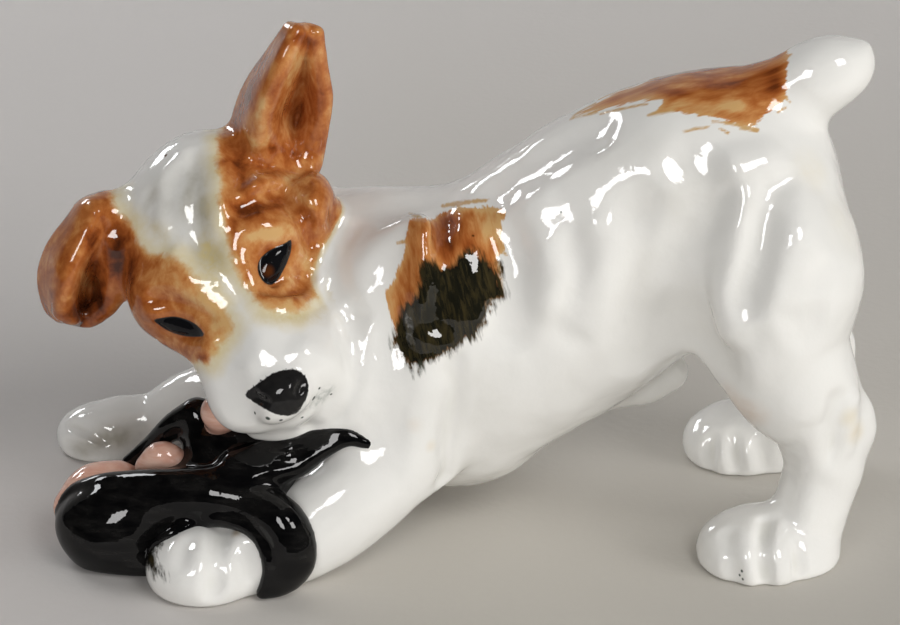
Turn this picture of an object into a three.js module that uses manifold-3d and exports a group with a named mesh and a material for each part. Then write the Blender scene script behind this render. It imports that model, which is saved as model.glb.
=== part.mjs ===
// A glazed china figurine: a terrier puppy, front end down and rump up, that chews a slipper held between its forepaws.
// Millimetres, +Z up, the dog's tail towards +X, its left side towards -Y, its soles on the plane z = 0.
//
// The dog is one soft, closed form. It is described by rounded forms that melt into each other (the table FORMS), and it is
// parted by flat planes into the castings that a potter would stick together before the firing: body, head, two ears, four
// legs and tail. The slipper's upper and its lining are two further pieces.
import * as THREE from "three";
import Module from "manifold-3d";

// ---- driving dimensions (mm) ----
const WALL = 3.0; // china wall of the hollow body and head
const SEAM_GAP = 0.3; // clearance between neighbouring pieces
const CONTACT_GAP = 0.5; // clearance between the dog, the slipper's upper and its lining
const VENT_D = 3.6; // vent hole of the kiln in the belly
const VENT_AT = [19.0, 0.0]; // its place, x and y
const SHIFT = [0.196, 4.353]; // brings the middle of the bounding box to x = y = 0
const CELL = { torso: 2.9, head: 2.1, ear: 1.3, leg: 2.2, tail: 2.0, slipper: 2.0, cavity: 4.2, clear: 1.9 }; // edge of the polygon cells
const BLEND = [["torso", 0], ["left_hind_leg", 3], ["right_hind_leg", 3], ["left_foreleg", 3], ["right_foreleg", 4], ["tail", 3], ["head", 3.5], ["left_ear", 2.5], ["right_ear", 2.5]]; // how far each part melts into the ones before it

// Seam boxes: centre, direction of the box's own x axis, direction of its own y axis, full sizes. What lies in a box is that piece.
const SEAMS = {
  tail: { at: [62.9, 0, 80.9], x: [0.8, 0, 0.6], y: [0, 1, 0], size: [30, 40, 60] },
  left_hind_leg: { at: [55.8, -22, 11], x: [1, 0, 0], y: [0, 1, 0], size: [44.4, 40, 30] },
  right_hind_leg: { at: [55.8, 22, 11], x: [1, 0, 0], y: [0, 1, 0], size: [44.4, 40, 30] },
  left_foreleg: { at: [-27.5, -22.2, 7.2], x: [-0.86, -0.32, -0.4], y: [-0.35, 0.94, 0], size: [40, 26, 19] },
  right_foreleg: { at: [-50, 17, 6], x: [1, 0, 0], y: [0, 1, 0], size: [52, 26, 24] },
  left_ear: { at: [-25, 3, 76], x: [0.93, 0, -0.37], y: [0, 1, 0], size: [40, 34, 30] },
  right_ear: { at: [-64.4, -4, 46], x: [1, 0, -0.1], y: [0, 1, 0], size: [30, 36, 40] },
  head: { at: [-46, -4, 58.8], x: [1, 0, 0], y: [0, 1, 0], size: [60, 80, 80] },
};

// ---- the forms ----
// [piece, add or sub, kind, blend radius, what it is, numbers, detail]
//   ball    x, y, z, rx, ry, rz; detail holds its axes when it is turned
//   limb    round rod of changing radius through the points x, y, z, r; detail is the number of stations
//   barrel  the same, narrowed across y; detail adds the factor
//   sheet   a leaf of china of changing thickness through rows of x, y, z, r; detail is the stations each way
// Rows named "dog" work on the whole blended dog.
const FORMS = [
  ["torso", "add", "barrel", 0, "barrel of the body from croup to shoulders", [[39.24,0,53.48,15.6],[35,0,49.7,18.6],[29.55,0,46.53,19.6],[23.79,0,43.35,19.8],[18.01,0,38.87,20.3],[12.2,0,34.68,20.4],[6.35,0,31.12,20.6],[0.47,0,28.03,20.6],[-3.07,0,26.72,19.5]], [34,0.88]],
  ["torso", "add", "limb", 6, "neck, curving round to the back of the skull", [[-2.48,1,28.21,17.5],[-9.55,1.5,31.39,15],[-16.49,3,33.3,14.2],[-23.21,6.5,35.44,13]], [24]],
  ["torso", "add", "limb", 5, "throat and front of the chest", [[-10.53,0,35.65,13.5],[-12.95,-6.5,30.61,12],[-13.8,-10.5,24.46,10],[-12.92,-13,19.7,7.6]], [24]],
  ["torso", "add", "ball", 4, "loose skin between cheek and chest", [-15.57,-14,28.26,6,6.8,9.5], []],
  ["torso", "add", "ball", 6, "brisket", [0.78,0,15.2,10.5,11,10.3], []],
  ["torso", "add", "ball", 5, "left shoulder", [-4.61,-11,34.34,10,7.5,17], []],
  ["torso", "add", "ball", 5, "right shoulder", [-4.75,11,25.66,10,7.5,17], []],
  ["torso", "add", "limb", 5, "left upper arm", [[-4.62,-13,26.49,7.5],[-5.93,-15,17.78,6.3]], [24]],
  ["torso", "add", "limb", 5, "left thigh", [[43.11,-7,48.81,12.3],[45.37,-10.5,42.51,13],[45.49,-12.5,34.57,11],[48.97,-14,26.65,8.2]], [24]],
  ["torso", "add", "limb", 5, "right thigh", [[42.51,7,48.81,12.3],[44.77,10.5,42.51,13],[44.89,12.5,34.57,11],[48.37,14,26.65,8.2]], [24]],
  ["torso", "add", "limb", 3, "skin of the groin", [[21.88,1,18.68,3.2],[27.23,1.5,19.6,3.9],[31.1,2,20.68,3.3]], [8]],
  ["left_hind_leg", "add", "limb", 0, "left gaskin, hock and hind pastern", [[48.97,-14,26.65,8.2],[51.59,-14,22.14,6.9],[52.94,-14,17.27,6.1],[53.5,-14.3,13.35,5.9],[52.29,-15.2,8.89,5.5],[50.62,-16.5,3.8,5.6],[49.53,-17,0.42,5.6]], [34]],
  ["left_hind_leg", "add", "ball", 3, "left point of the hock", [57.54,-13.5,19.62,3.3,3,4.6], []],
  ["left_hind_leg", "add", "ball", 2.5, "left hind paw", [44.27,-18.5,1.56,9.3,9.1,6.2], []],
  ["left_hind_leg", "add", "ball", 2, "left hind pad, outer side", [50.19,-18,0.3,5.5,6.5,5.2], []],
  ["right_hind_leg", "add", "limb", 0, "right gaskin, hock and hind pastern", [[48.37,12.65,26.65,8.2],[50.99,12.32,22.14,6.9],[52.26,11.97,17.27,6.1],[52.71,12.1,13.35,5.9],[51.37,13,8.89,5.5],[49.62,14.3,3.8,5.6],[48.53,14.8,0.42,5.6]], [34]],
  ["right_hind_leg", "add", "ball", 3, "right point of the hock", [56.93,11.64,19.62,3.3,3,4.6], []],
  ["right_hind_leg", "add", "ball", 2.5, "right hind paw", [43.27,16.3,1.56,8.5,9.1,6.2], []],
  ["right_hind_leg", "add", "ball", 2, "right hind pad, outer side", [49.19,15.8,0.3,5.5,6.5,5.2], []],
  ["left_foreleg", "add", "limb", 0, "left forearm", [[-5.93,-15.5,17.06,6.5],[-9.7,-17,14.73,7],[-15.48,-20,10.58,7.2],[-21.53,-22.5,7,6.8],[-27.7,-24.8,4.47,6]], [24]],
  ["left_foreleg", "add", "ball", 3, "left forepaw", [-36.62,-26,2.99,8.4,8.3,6.1], []],
  ["right_foreleg", "add", "limb", 0, "right forearm", [[-8.59,12,10.95,9],[-23.84,14,10.81,8],[-33.85,15.5,8.88,7],[-40.87,17,7.12,5.6],[-45.6,18,4.73,4.5],[-51.05,18,2.84,5.2]], [24]],
  ["right_foreleg", "add", "ball", 3, "right forepaw", [-55.24,18,1.98,6.2,6.3,4.8], []],
  ["tail", "add", "limb", 0, "docked tail", [[44.14,0,63,5.8],[48.62,0,66.41,5.8],[52.54,0,68.87,5.5],[55.49,0,70.25,4.2],[57.28,0,71.94,2.2]], [24]],
  ["head", "add", "ball", 0, "skull", [-36.63,1.99,44.17,15,13.9,12.2], [[0.21,-0.97,-0.14],[0.82,0.1,0.56],[-0.53,-0.23,0.81]]],
  ["head", "add", "ball", 4, "crown", [-35.34,1.58,48.94,10,8.2,8.8], [[0.21,-0.97,-0.14],[0.82,0.1,0.56],[-0.53,-0.23,0.81]]],
  ["head", "add", "ball", 4, "forehead", [-34.42,-6.76,40.15,8.5,12,7.5], [[0.21,-0.97,-0.14],[0.82,0.1,0.56],[-0.53,-0.23,0.81]]],
  ["head", "add", "ball", 4, "left temple", [-27.29,-3.35,45.15,8.5,7,9], [[0.21,-0.97,-0.14],[0.82,0.1,0.56],[-0.53,-0.23,0.81]]],
  ["head", "add", "ball", 3, "right brow", [-42.22,-6.92,36.63,7,5,5.6], [[0.21,-0.97,-0.14],[0.82,0.1,0.56],[-0.53,-0.23,0.81]]],
  ["head", "add", "ball", 4, "stop", [-29.19,-13.46,33.65,9.5,9.6,8.2], [[0.21,-0.97,-0.14],[0.82,0.1,0.56],[-0.53,-0.23,0.81]]],
  ["head", "add", "ball", 4, "muzzle", [-26.07,-18.98,30.05,7.6,10.4,6.6], [[0.21,-0.97,-0.14],[0.82,0.1,0.56],[-0.53,-0.23,0.81]]],
  ["head", "add", "ball", 1.5, "nose", [-24.86,-25.74,29.99,3.3,4.6,3.4], [[0.21,-0.97,-0.14],[0.82,0.1,0.56],[-0.53,-0.23,0.81]]],
  ["head", "add", "ball", 2.5, "lower lip", [-23.13,-16.3,26.72,7,5.6,3.4], [[0.21,-0.97,-0.14],[0.82,0.1,0.56],[-0.53,-0.23,0.81]]],
  ["head", "add", "ball", 4, "left cheek", [-23.06,0.5,39.2,8,5.5,7], [[0.21,-0.97,-0.14],[0.82,0.1,0.56],[-0.53,-0.23,0.81]]],
  ["head", "add", "ball", 2, "fur behind the left temple", [-20.92,-3.5,49.8,3.4,5,5], []],
  ["head", "add", "limb", 3, "lower jaw on the slipper", [[-28.63,-18.8,21.31,1.2],[-24.6,-18.8,21.63,1.9],[-20.31,-17.6,22.16,2.6]], [8]],
  ["head", "add", "ball", 3, "right cheek", [-36.16,-4.45,32.32,6.5,4.2,4.8], [[0.21,-0.97,-0.14],[0.82,0.1,0.56],[-0.53,-0.23,0.81]]],
  ["left_ear", "add", "sheet", 0, "upright ear", [[[-31.64,6,55.05,2.4],[-28.48,1,56.67,2.6],[-25.45,4,54.62,2.6],[-23.43,4.5,54.26,2.5],[-21.67,4,54.47,2.4]],[[-30.68,6.5,60.2,1.9],[-27.81,-1.8,63.12,1.5],[-25.17,6.5,59.25,1.6],[-22.61,8,58.32,1.6],[-19.95,2.5,59.8,1.5]],[[-29.23,5.5,64.98,1.7],[-26.41,-2.3,67.64,1.4],[-24.3,5,64.4,1.5],[-21.76,6.5,63.49,1.4],[-19.29,2,64.83,1.4]],[[-26.48,4,69.76,1.5],[-24.64,-2,71.81,1.3],[-23.01,3.5,69.49,1.4],[-21.32,4.5,68.94,1.3],[-19.78,1.5,70.12,1.3]],[[-23.72,1.5,74.88,1.4],[-22.8,0,75.3,1.3],[-21.86,1.5,74.88,1.3],[-21.02,2,74.53,1.3],[-20.15,1.5,74.42,1.3]]], [40,34]],
  ["left_ear", "add", "limb", 3, "root of the upright ear", [[-28.42,5,53.41,4.8],[-26.4,4,50.35,5.5]], [6]],
  ["right_ear", "add", "sheet", 0, "folded ear", [[[-53.95,0,46.53,2],[-52.43,-2,47.88,2.2],[-51.32,-1.5,47.82,2.3],[-50.5,-1,47.28,2.4],[-49.89,0,46.21,2.6]],[[-57.25,-0.5,42.93,2],[-54.05,-4.8,45,1.8],[-53.04,-0.5,42.61,1.7],[-51.55,0.5,41.53,1.8],[-49.81,-2.5,43.18,2.2]],[[-59.44,-1,38.2,1.9],[-55.91,-7,40.92,1.6],[-54.95,0.5,36.71,1.5],[-52.57,1.5,35.61,1.5],[-50.07,-3.2,38.24,2]],[[-59.01,-1.5,33.6,1.8],[-56.81,-7,36.46,1.5],[-55.6,-0.5,32.81,1.5],[-53.22,0.5,32.02,1.5],[-50.63,-3.2,34.71,1.8]],[[-57.75,-3,32.52,1.6],[-56.35,-5.3,33.27,1.5],[-55.45,-2.8,31.78,1.5],[-54.05,-2.2,31.34,1.5],[-52.63,-3,32.52,1.6]]], [36,30]],
  ["right_ear", "add", "limb", 3, "root of the folded ear", [[-50.87,1,45.29,4.5],[-47.62,3,42.01,7]], [6]],
  ["slipper_upper", "add", "ball", 0, "toe of the slipper", [-49.47,-17,5.06,9.2,8,6.6], []],
  ["slipper_upper", "add", "limb", 3, "near side of the upper, over the wrist and down to the ground", [[-49.11,-17,7.04,5.3],[-42.29,-19.5,10.32,4.6],[-35.59,-22,12.28,3.9],[-29.46,-24,11.86,3.6],[-24.89,-27.5,10.63,3.5],[-23.47,-29,7.22,3.5],[-23.66,-29.3,3.48,3.3],[-24.91,-28.5,-0.56,3.1]], [24]],
  ["slipper_upper", "add", "ball", 2, "part pulled up to the mouth", [-34.72,-9.5,15,5.6,6,5.3], []],
  ["slipper_upper", "add", "sheet", 1.2, "flap lying on the left forearm", [[[-31.57,-20,16.11,2.4],[-31.79,-22,14.55,2.4]],[[-27.8,-19.6,18,1.9],[-26.87,-22.2,15.94,1.9]],[[-24.02,-19.8,19.72,1.6],[-22.82,-22.3,17.13,1.5]],[[-19.67,-20.4,20.99,1.3],[-19.35,-22,19.39,1.2]],[[-16.05,-21,21.77,1],[-15.76,-21.6,20.95,0.9]],[[-12.76,-21.4,20.53,0.6],[-12.62,-21.4,20.05,0.6]]], [5,26]],
  ["slipper_upper", "add", "limb", 1.5, "far side of the upper", [[-48.35,-6,9.42,1.3],[-45.27,-6.5,12.33,1.5],[-41.52,-8,16.55,2],[-38.03,-9,18.68,2.8]], [24]],
  ["slipper_upper", "add", "limb", 2, "fold below the mouth", [[-37.51,-14,11.06,3.5],[-34.25,-14,13.03,5]], [6]],
  ["slipper_upper", "add", "limb", 2, "edge of the upper beside the forepaw", [[-51.27,-19,3.48,5],[-47.49,-21.5,2.19,3.2],[-44.74,-23.5,2.12,2]], [10]],
  ["slipper_upper", "add", "ball", 1.5, "slipper below the chin", [-30.81,-14,17.11,4.5,4,3.6], []],
  ["slipper_upper", "add", "ball", 2, "body of the slipper", [-37.62,-14,6.94,12,8,6.6], []],
  ["slipper_upper", "add", "ball", 2, "slipper between wrist and flap", [-29.19,-19.5,13.58,6,4.5,4], []],
  ["slipper_upper", "add", "limb", 0.9, "rolled edge round the forepaw", [[-43.93,-25.6,5.39,0.7],[-42.42,-25.8,7.13,1],[-40.95,-25.8,8.11,1.1],[-38.98,-24.9,8.77,1.2],[-37,-24.1,9.15,1.2],[-34.73,-25.5,10.38,1.2],[-32.25,-26.3,10.48,1.2],[-29.92,-27.4,10.09,1.2],[-28.03,-28.7,8.85,1.2],[-27.15,-29.9,7.38,1.2],[-26.59,-30.4,5.38,1.2],[-26.46,-31,3.43,1.2],[-26.64,-31,1.48,1.2]], [30]],
  ["slipper_upper", "add", "limb", 1.2, "rolled edge of the opening", [[-57.87,-15.4,6.52,0.8],[-56.98,-14.9,7.91,1.1],[-55.17,-14.8,9.5,1.3],[-51.92,-16.4,11.32,1.3],[-47.42,-17.6,12.59,1.3],[-42.14,-20.2,13.94,1.3],[-37.01,-21.2,14.78,1.2],[-34.1,-21.3,15.8,0.8]], [24]],
  ["slipper_lining", "add", "limb", 0, "lining at the toe", [[-55.95,-14,6.28,3.2],[-53.26,-12,8.05,3.8],[-50.07,-11,8.85,3.2]], [24]],
  ["slipper_lining", "add", "limb", 1, "lining pushed up behind the near side", [[-45.28,-13,12.35,1.8],[-43.33,-13,13.99,2.3],[-41.59,-13,13.5,2.2],[-39.8,-12,11.51,1.6]], [10]],
  ["slipper_lining", "add", "ball", 1, "lining at the mouth", [-33.98,-15,22.48,2.9,3,2.4], []],
  ["slipper_lining", "add", "limb", 2, "lining inside the slipper", [[-53.17,-12,6.39,4],[-42.68,-10,7.5,3.4],[-35.48,-10,12.79,3],[-34.37,-12,18.22,2.6],[-34.02,-14.5,21.74,2.4]], [24]],
  ["dog", "sub", "limb", 3, "hollow behind the last rib", [[25.49,-21.3,54.5,7],[26.52,-22.81,48.87,7],[26.97,-22.69,40.56,7],[30.03,-19.83,31.05,7]], [20]],
  ["dog", "sub", "limb", 3.5, "hollow in front of the left thigh", [[33.72,-20.56,54.26,5],[32.11,-21.12,48.02,5],[31.31,-20.4,41.23,5],[32.3,-18.33,34.35,5],[34.49,-20.87,31.77,5]], [25]],
  ["dog", "sub", "limb", 2.5, "line between the thigh muscles", [[45.38,-18.02,59.47,4],[43.73,-21.4,55.48,4],[42.29,-24.23,50.28,4],[39.83,-25.21,45.43,4]], [20]],
  ["dog", "sub", "limb", 2.5, "back of the thigh", [[50.43,-24.53,49.11,4],[48.96,-26.51,44.56,4],[50.29,-26.53,39.2,4]], [15]],
  ["dog", "sub", "limb", 1.5, "hollow in front of the tendon", [[55.2,-22.09,26.97,2],[54.28,-22.14,22.13,2],[55,-20.98,17.25,2]], [15]],
  ["dog", "add", "limb", 1.5, "shin of the hind pastern", [[50.72,-19.63,21.57,2.2],[51.84,-18.01,13.43,2.2],[50.82,-19.2,7.88,2.2]], [15]],
  ["dog", "sub", "limb", 3, "hollow between neck and shoulder", [[-10.7,-17.41,51.43,6],[-11.22,-21.39,44.43,6],[-9.73,-23.85,37.84,6]], [15]],
  ["dog", "sub", "limb", 3, "hollow behind the elbow", [[1.21,-25.26,27.91,6],[0.84,-25.01,22.16,6],[2.26,-23.74,14.22,6]], [15]],
  ["dog", "sub", "limb", 3, "line beside the spine", [[4.26,-7.91,56.27,4],[10.78,-7.42,60.85,4],[17.48,-7.09,64.8,4]], [15]],
  ["dog", "sub", "limb", 1.4, "crease between cheek and neck", [[-16.48,-7.02,48.69,2.2],[-18.05,-10.1,45.71,2.2],[-17.52,-14.39,42.06,2.2],[-14.38,-18.18,39.14,2.2]], [20]],
  ["dog", "add", "limb", 1.8, "fold of skin in front of the shoulder", [[-4.15,-12.43,48.48,2.4],[-3.91,-15.59,42.95,2.4],[-4.5,-17.01,35.95,2.4]], [15]],
  ["dog", "sub", "limb", 1.6, "groove beside that fold", [[-2.2,-7.25,51.47,1.9],[-1.68,-17.24,47.24,1.9],[-2.55,-20.07,38.72,1.9]], [15]],
  ["dog", "add", "limb", 2.2, "second fold of the shoulder", [[2.32,-6.61,48.46,2.6],[2.42,-12.57,44.53,2.6],[1.7,-15.76,38.07,2.6]], [15]],
  ["dog", "sub", "limb", 2.6, "groove behind the shoulder", [[7.28,-15.66,50.34,3.4],[8.26,-18.77,44.45,3.4],[7.53,-20.71,37.24,3.4]], [15]],
  ["dog", "add", "limb", 2.8, "swelling of the ribs", [[12.8,-9.73,50.49,3.4],[14.44,-12.91,46,3.4],[14.43,-14.24,40.74,3.4]], [15]],
  ["dog", "sub", "limb", 2.6, "groove between the ribs", [[16.85,-18.62,49.53,3],[18.22,-20.11,44.91,3],[16.81,-20.61,36.59,3]], [15]],
  ["dog", "add", "limb", 2.6, "second swelling of the ribs", [[20.7,-12.87,49.58,3.2],[20.57,-13.9,44.48,3.2],[17.97,-14.08,38.13,3.2]], [15]],
  ["dog", "sub", "limb", 1.5, "crease behind the upper arm", [[-0.44,-20.68,32.54,1.8],[-0.64,-20.33,26.28,1.8],[-1.27,-20.11,19.84,1.8],[-1.24,-19.4,13.49,1.8]], [20]],
  ["dog", "add", "limb", 2.0, "upper arm beside the crease", [[-4.37,-18.27,28,2.6],[-5.33,-18.53,21.95,2.6],[-5.32,-18.55,16.5,2.6]], [15]],
  ["dog", "add", "limb", 2.4, "hip bone", [[39.36,-12.16,58.62,3],[43,-10.93,59.1,3]], [10]],
  ["dog", "add", "limb", 2.2, "front edge of the thigh", [[40.33,-14.67,55.24,2.4],[39.72,-16.6,50.17,2.4],[38.93,-17.99,44.21,2.4],[39.94,-20.01,38.55,2.4]], [20]],
  ["dog", "sub", "limb", 2.0, "groove along the thigh", [[43.95,-19.16,54.57,2.2],[42,-22.05,49.1,2.2],[39.63,-23.72,43.24,2.2]], [15]],
  ["dog", "add", "limb", 2.6, "outer thigh muscle", [[47,-14.09,53.44,3.2],[47.68,-17.53,50.01,3.2],[47.15,-19.34,44.16,3.2]], [15]],
  ["dog", "sub", "limb", 3.0, "hollow of the croup", [[32.24,-16.19,62.35,4],[35.14,-18.58,57.94,4]], [10]],
  ["dog", "add", "limb", 1.2, "tendon of the heel", [[55.96,-17.85,25.85,1.5],[55.64,-18.16,19.99,1.5],[53.88,-18.7,14.9,1.5]], [15]],
  ["dog", "add", "limb", 0.7, "left eyeball", [[-27.62,-11.64,42.41,3.3],[-26.41,-9.68,45.13,3.3]], [10]],
  ["dog", "add", "limb", 0.7, "right eyeball", [[-40.92,-12.33,36.39,2.6],[-36.87,-14.06,35.66,2.6]], [10]],
  ["dog", "add", "limb", 1.0, "left brow fold", [[-33.54,-8.58,52.06,1.7],[-31.09,-7.59,52.89,1.7],[-28.25,-5.44,53.51,1.7],[-24.5,-0.33,53.39,1.7],[-21.37,2.17,54.31,1.7]], [25]],
  ["dog", "sub", "limb", 1.0, "recess under the brow fold", [[-31.1,-10.41,52.68,1.6],[-27.57,-8.63,53.59,1.6],[-24.2,-6.06,53.23,1.6],[-22.45,-6.41,54.14,1.6]], [20]],
  ["dog", "add", "limb", 1.0, "fold behind the left eye", [[-21.95,-4.18,51.92,1.6],[-20.52,-7.06,50.86,1.6],[-20.11,-5.96,46.34,1.6],[-19.95,-8.24,42.7,1.6]], [20]],
  ["dog", "sub", "limb", 1.0, "recess beside it", [[-23.68,-7.28,52.19,1.3],[-21.68,-9.42,49.54,1.3],[-20.56,-9.13,46.1,1.3]], [15]],
  ["dog", "sub", "limb", 1.2, "hollow below the ear root", [[-32.79,-1.51,59.05,2.2],[-31.03,-5.04,57.24,2.2],[-32.16,-9.32,55.46,2.2]], [15]],
  ["dog", "sub", "limb", 1.0, "second hollow below the ear root", [[-27.81,-3.01,56.88,1.6],[-24.4,-2.05,55.96,1.6],[-22.34,-1.08,55.5,1.6]], [15]],
  ["dog", "sub", "limb", 2, "forehead furrow", [[-36.83,-3.75,58.74,3],[-37.67,-8.51,55.52,3],[-38.09,-11.53,51.41,3],[-37.01,-14.56,46.97,3]], [20]],
  ["dog", "sub", "limb", 1.5, "second forehead furrow", [[-40.7,-5.57,56.43,2.6],[-42.1,-8.71,52.76,2.6],[-41.01,-11.12,50.04,2.6]], [15]],
  ["dog", "add", "limb", 1.5, "forehead ridge", [[-35.2,1.47,56.25,2.4],[-34.18,-4.74,53.28,2.4],[-33.6,-9.23,49.16,2.4]], [15]],
  ["dog", "sub", "limb", 1.5, "third forehead furrow", [[-45.43,-6.05,52.6,2.4],[-46.02,-8.4,49.34,2.4],[-43.51,-11.56,47.47,2.4]], [15]],
  ["dog", "add", "limb", 1.2, "orbit, upper half", [[-31.52,-12.18,45.79,2.1],[-30.78,-10.87,48.03,2.1],[-28.08,-10.03,49.06,2.1],[-25.13,-9.04,48.46,2.1]], [20]],
  ["dog", "add", "limb", 1.2, "orbit, lower half", [[-31,-13.09,44.69,2.1],[-29.25,-14.79,41.51,2.1],[-26.78,-16.64,40.03,2.1],[-24.05,-16.24,39.31,2.1],[-21.43,-12.59,38.92,2.1],[-19.68,-9.71,40.75,2.1]], [30]],
  ["dog", "add", "limb", 2.5, "right brow fold", [[-42.29,-9.79,38.99,4],[-38.32,-10.91,41.22,4],[-34.67,-12.87,39.2,4]], [15]],
  ["dog", "sub", "limb", 1.2, "recess under the right brow", [[-43.71,-15.27,39.98,2],[-40.17,-16.3,39.19,2],[-36.63,-18.77,38.2,2]], [15]],
  ["dog", "add", "limb", 1.2, "fold under the right eye", [[-40.75,-10.49,32.6,2],[-36.06,-16.52,32.93,2],[-34.01,-18.7,34.66,2]], [15]],
  ["dog", "add", "limb", 0.8, "rim of the upright ear", [[-22.83,-0.69,75.33,1],[-24.6,-2.57,72.06,1],[-26.2,-3.14,68.17,1],[-27.6,-2.79,63.94,1],[-28.01,-1.99,60.12,1]], [25]],
  ["dog", "add", "limb", 0.8, "foot of the ear rim", [[-28.51,-1.62,59.59,1.3],[-27.76,-0.37,56.62,1.3],[-25.36,0.36,54.91,1.3]], [15]],
  ["dog", "add", "limb", 0.8, "rim of the folded ear", [[-51.96,-3.54,48.77,1],[-53.86,-5.75,45.39,1],[-55.83,-7.77,41.37,1],[-57,-7.96,37.2,1],[-57.67,-6.24,33.94,1]], [25]],
  ["dog", "add", "limb", 0.8, "inner fold of the folded ear", [[-50.07,-3.87,44.69,1],[-49.84,-4.55,39.65,1],[-50.67,-4.24,35.07,1]], [15]],
  ["dog", "sub", "limb", 1.5, "crease beside the lips", [[-15.24,-17.29,38.47,1.8],[-14.45,-21.15,33.98,1.8],[-15.59,-22.7,29.09,1.8],[-17.84,-22.62,25.08,1.8],[-20.44,-22.33,22.65,1.8]], [25]],
  ["dog", "add", "limb", 0.9, "right upper eyelid", [[-43.73,-13.06,37.44,1.2],[-40.71,-13.26,38.07,1.2],[-37.5,-14.84,38.04,1.2],[-34.7,-17.82,36.43,1.2]], [20]],
  ["dog", "add", "limb", 1.5, "lip fold", [[-21.86,-21.99,34.67,2.4],[-19.38,-21.22,32.98,2.4],[-17.64,-19.19,28.68,2.4],[-19.85,-19.12,25.8,2.4]], [20]],
  ["dog", "sub", "limb", 2, "hollow beside the muzzle", [[-33.36,-23.77,38.68,4],[-34.76,-25.52,33.97,4],[-32.32,-28.52,28.85,4]], [15]],
  ["dog", "sub", "limb", 1.2, "between the toes, left forepaw", [[-33.89,-26.16,9.72,1.6],[-34.01,-32.16,7.67,1.6],[-34.58,-34.68,3.1,1.6]], [15]],
  ["dog", "sub", "limb", 1.2, "between the outer toes, left forepaw", [[-38.95,-29.74,9.3,1.4],[-39.49,-32.58,7.69,1.4]], [10]],
  ["dog", "sub", "limb", 1.2, "between the inner toes, left forepaw", [[-30.17,-30.72,8.11,1.4],[-29.75,-32.24,5.19,1.4]], [10]],
  ["dog", "sub", "limb", 1.2, "first toe groove, left hind paw", [[38.81,-22.62,6.74,1.4],[38.92,-25.88,4.76,1.4],[39.53,-27.2,1.1,1.4]], [15]],
  ["dog", "sub", "limb", 1.0, "second toe groove, left hind paw", [[44.65,-20.88,7.84,1.3],[43.93,-25.97,5.43,1.3],[44.55,-27.91,0.76,1.3]], [15]],
  ["dog", "sub", "limb", 1.0, "third toe groove, left hind paw", [[49.22,-24.82,5.58,1.1],[49.59,-26.67,0.98,1.1]], [10]],
  ["dog", "sub", "limb", 1.0, "first toe groove, right hind paw", [[38.45,10.07,5.47,1.3],[38.06,8.3,1.18,1.3]], [10]],
  ["dog", "sub", "limb", 1.0, "second toe groove, right hind paw", [[41.88,9.5,6.52,1.3],[42.49,6.56,1.36,1.3]], [10]],
  ["dog", "sub", "limb", 1.0, "third toe groove, right hind paw", [[45.98,8.06,5.53,1.3],[46.96,7.06,1.76,1.3]], [10]],
  ["dog", "sub", "limb", 0.8, "first toe groove, right forepaw", [[-58.8,14.83,5.57,1],[-56.08,12.84,5.25,1],[-53.8,11.91,4.17,1]], [15]],
  ["dog", "sub", "limb", 0.8, "second toe groove, right forepaw", [[-59.46,13.01,2.68,1],[-57.04,11.62,2.44,1],[-54.78,11.36,1.42,1]], [15]],
];

// ---- distance fields ----
function smin(a, b, k) {
  if (k <= 0) return Math.min(a, b);
  const h = Math.max(k - Math.abs(a - b), 0) / k;
  return Math.min(a, b) - h * h * k * 0.25;
}
const smax = (a, b, k) => -smin(-a, -b, k);

// n stations along a Catmull-Rom curve through the points
function stations(pts, n) {
  const m = pts.length, dim = pts[0].length, out = [];
  const at = (i, c) =>
    i < 0 ? 2 * pts[0][c] - pts[1][c] : i >= m ? 2 * pts[m - 1][c] - pts[m - 2][c] : pts[i][c];
  for (let s = 0; s < n; s++) {
    const t = (s * (m - 1)) / (n - 1), i = Math.min(Math.floor(t), m - 2), f = t - i, p = [];
    for (let c = 0; c < dim; c++) {
      const p0 = at(i - 1, c), p1 = at(i, c), p2 = at(i + 1, c), p3 = at(i + 2, c);
      p.push(m === 2 ? p1 + (p2 - p1) * f
        : 0.5 * (2 * p1 + (p2 - p0) * f + (2 * p0 - 5 * p1 + 4 * p2 - p3) * f * f + (3 * p1 - p0 - 3 * p2 + p3) * f * f * f));
    }
    out.push(p);
  }
  return out;
}

// distance to a round cone with end radii a[3] and b[3]
function cone(x, y, z, a, b) {
  const bx = b[0] - a[0], by = b[1] - a[1], bz = b[2] - a[2];
  const l2 = bx * bx + by * by + bz * bz, rr = a[3] - b[3], a2 = l2 - rr * rr;
  const px = x - a[0], py = y - a[1], pz = z - a[2];
  const t = px * bx + py * by + pz * bz, u = t - l2;
  const qx = px * l2 - bx * t, qy = py * l2 - by * t, qz = pz * l2 - bz * t;
  const x2 = qx * qx + qy * qy + qz * qz, y2 = t * t * l2, z2 = u * u * l2;
  const k = Math.sign(rr) * rr * rr * x2;
  if (Math.sign(u) * a2 * z2 > k) return Math.sqrt(x2 + z2) / l2 - b[3];
  if (Math.sign(t) * a2 * y2 < k) return Math.sqrt(x2 + y2) / l2 - a[3];
  return (Math.sqrt((x2 * a2) / l2) + t * rr) / l2 - a[3];
}

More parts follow.
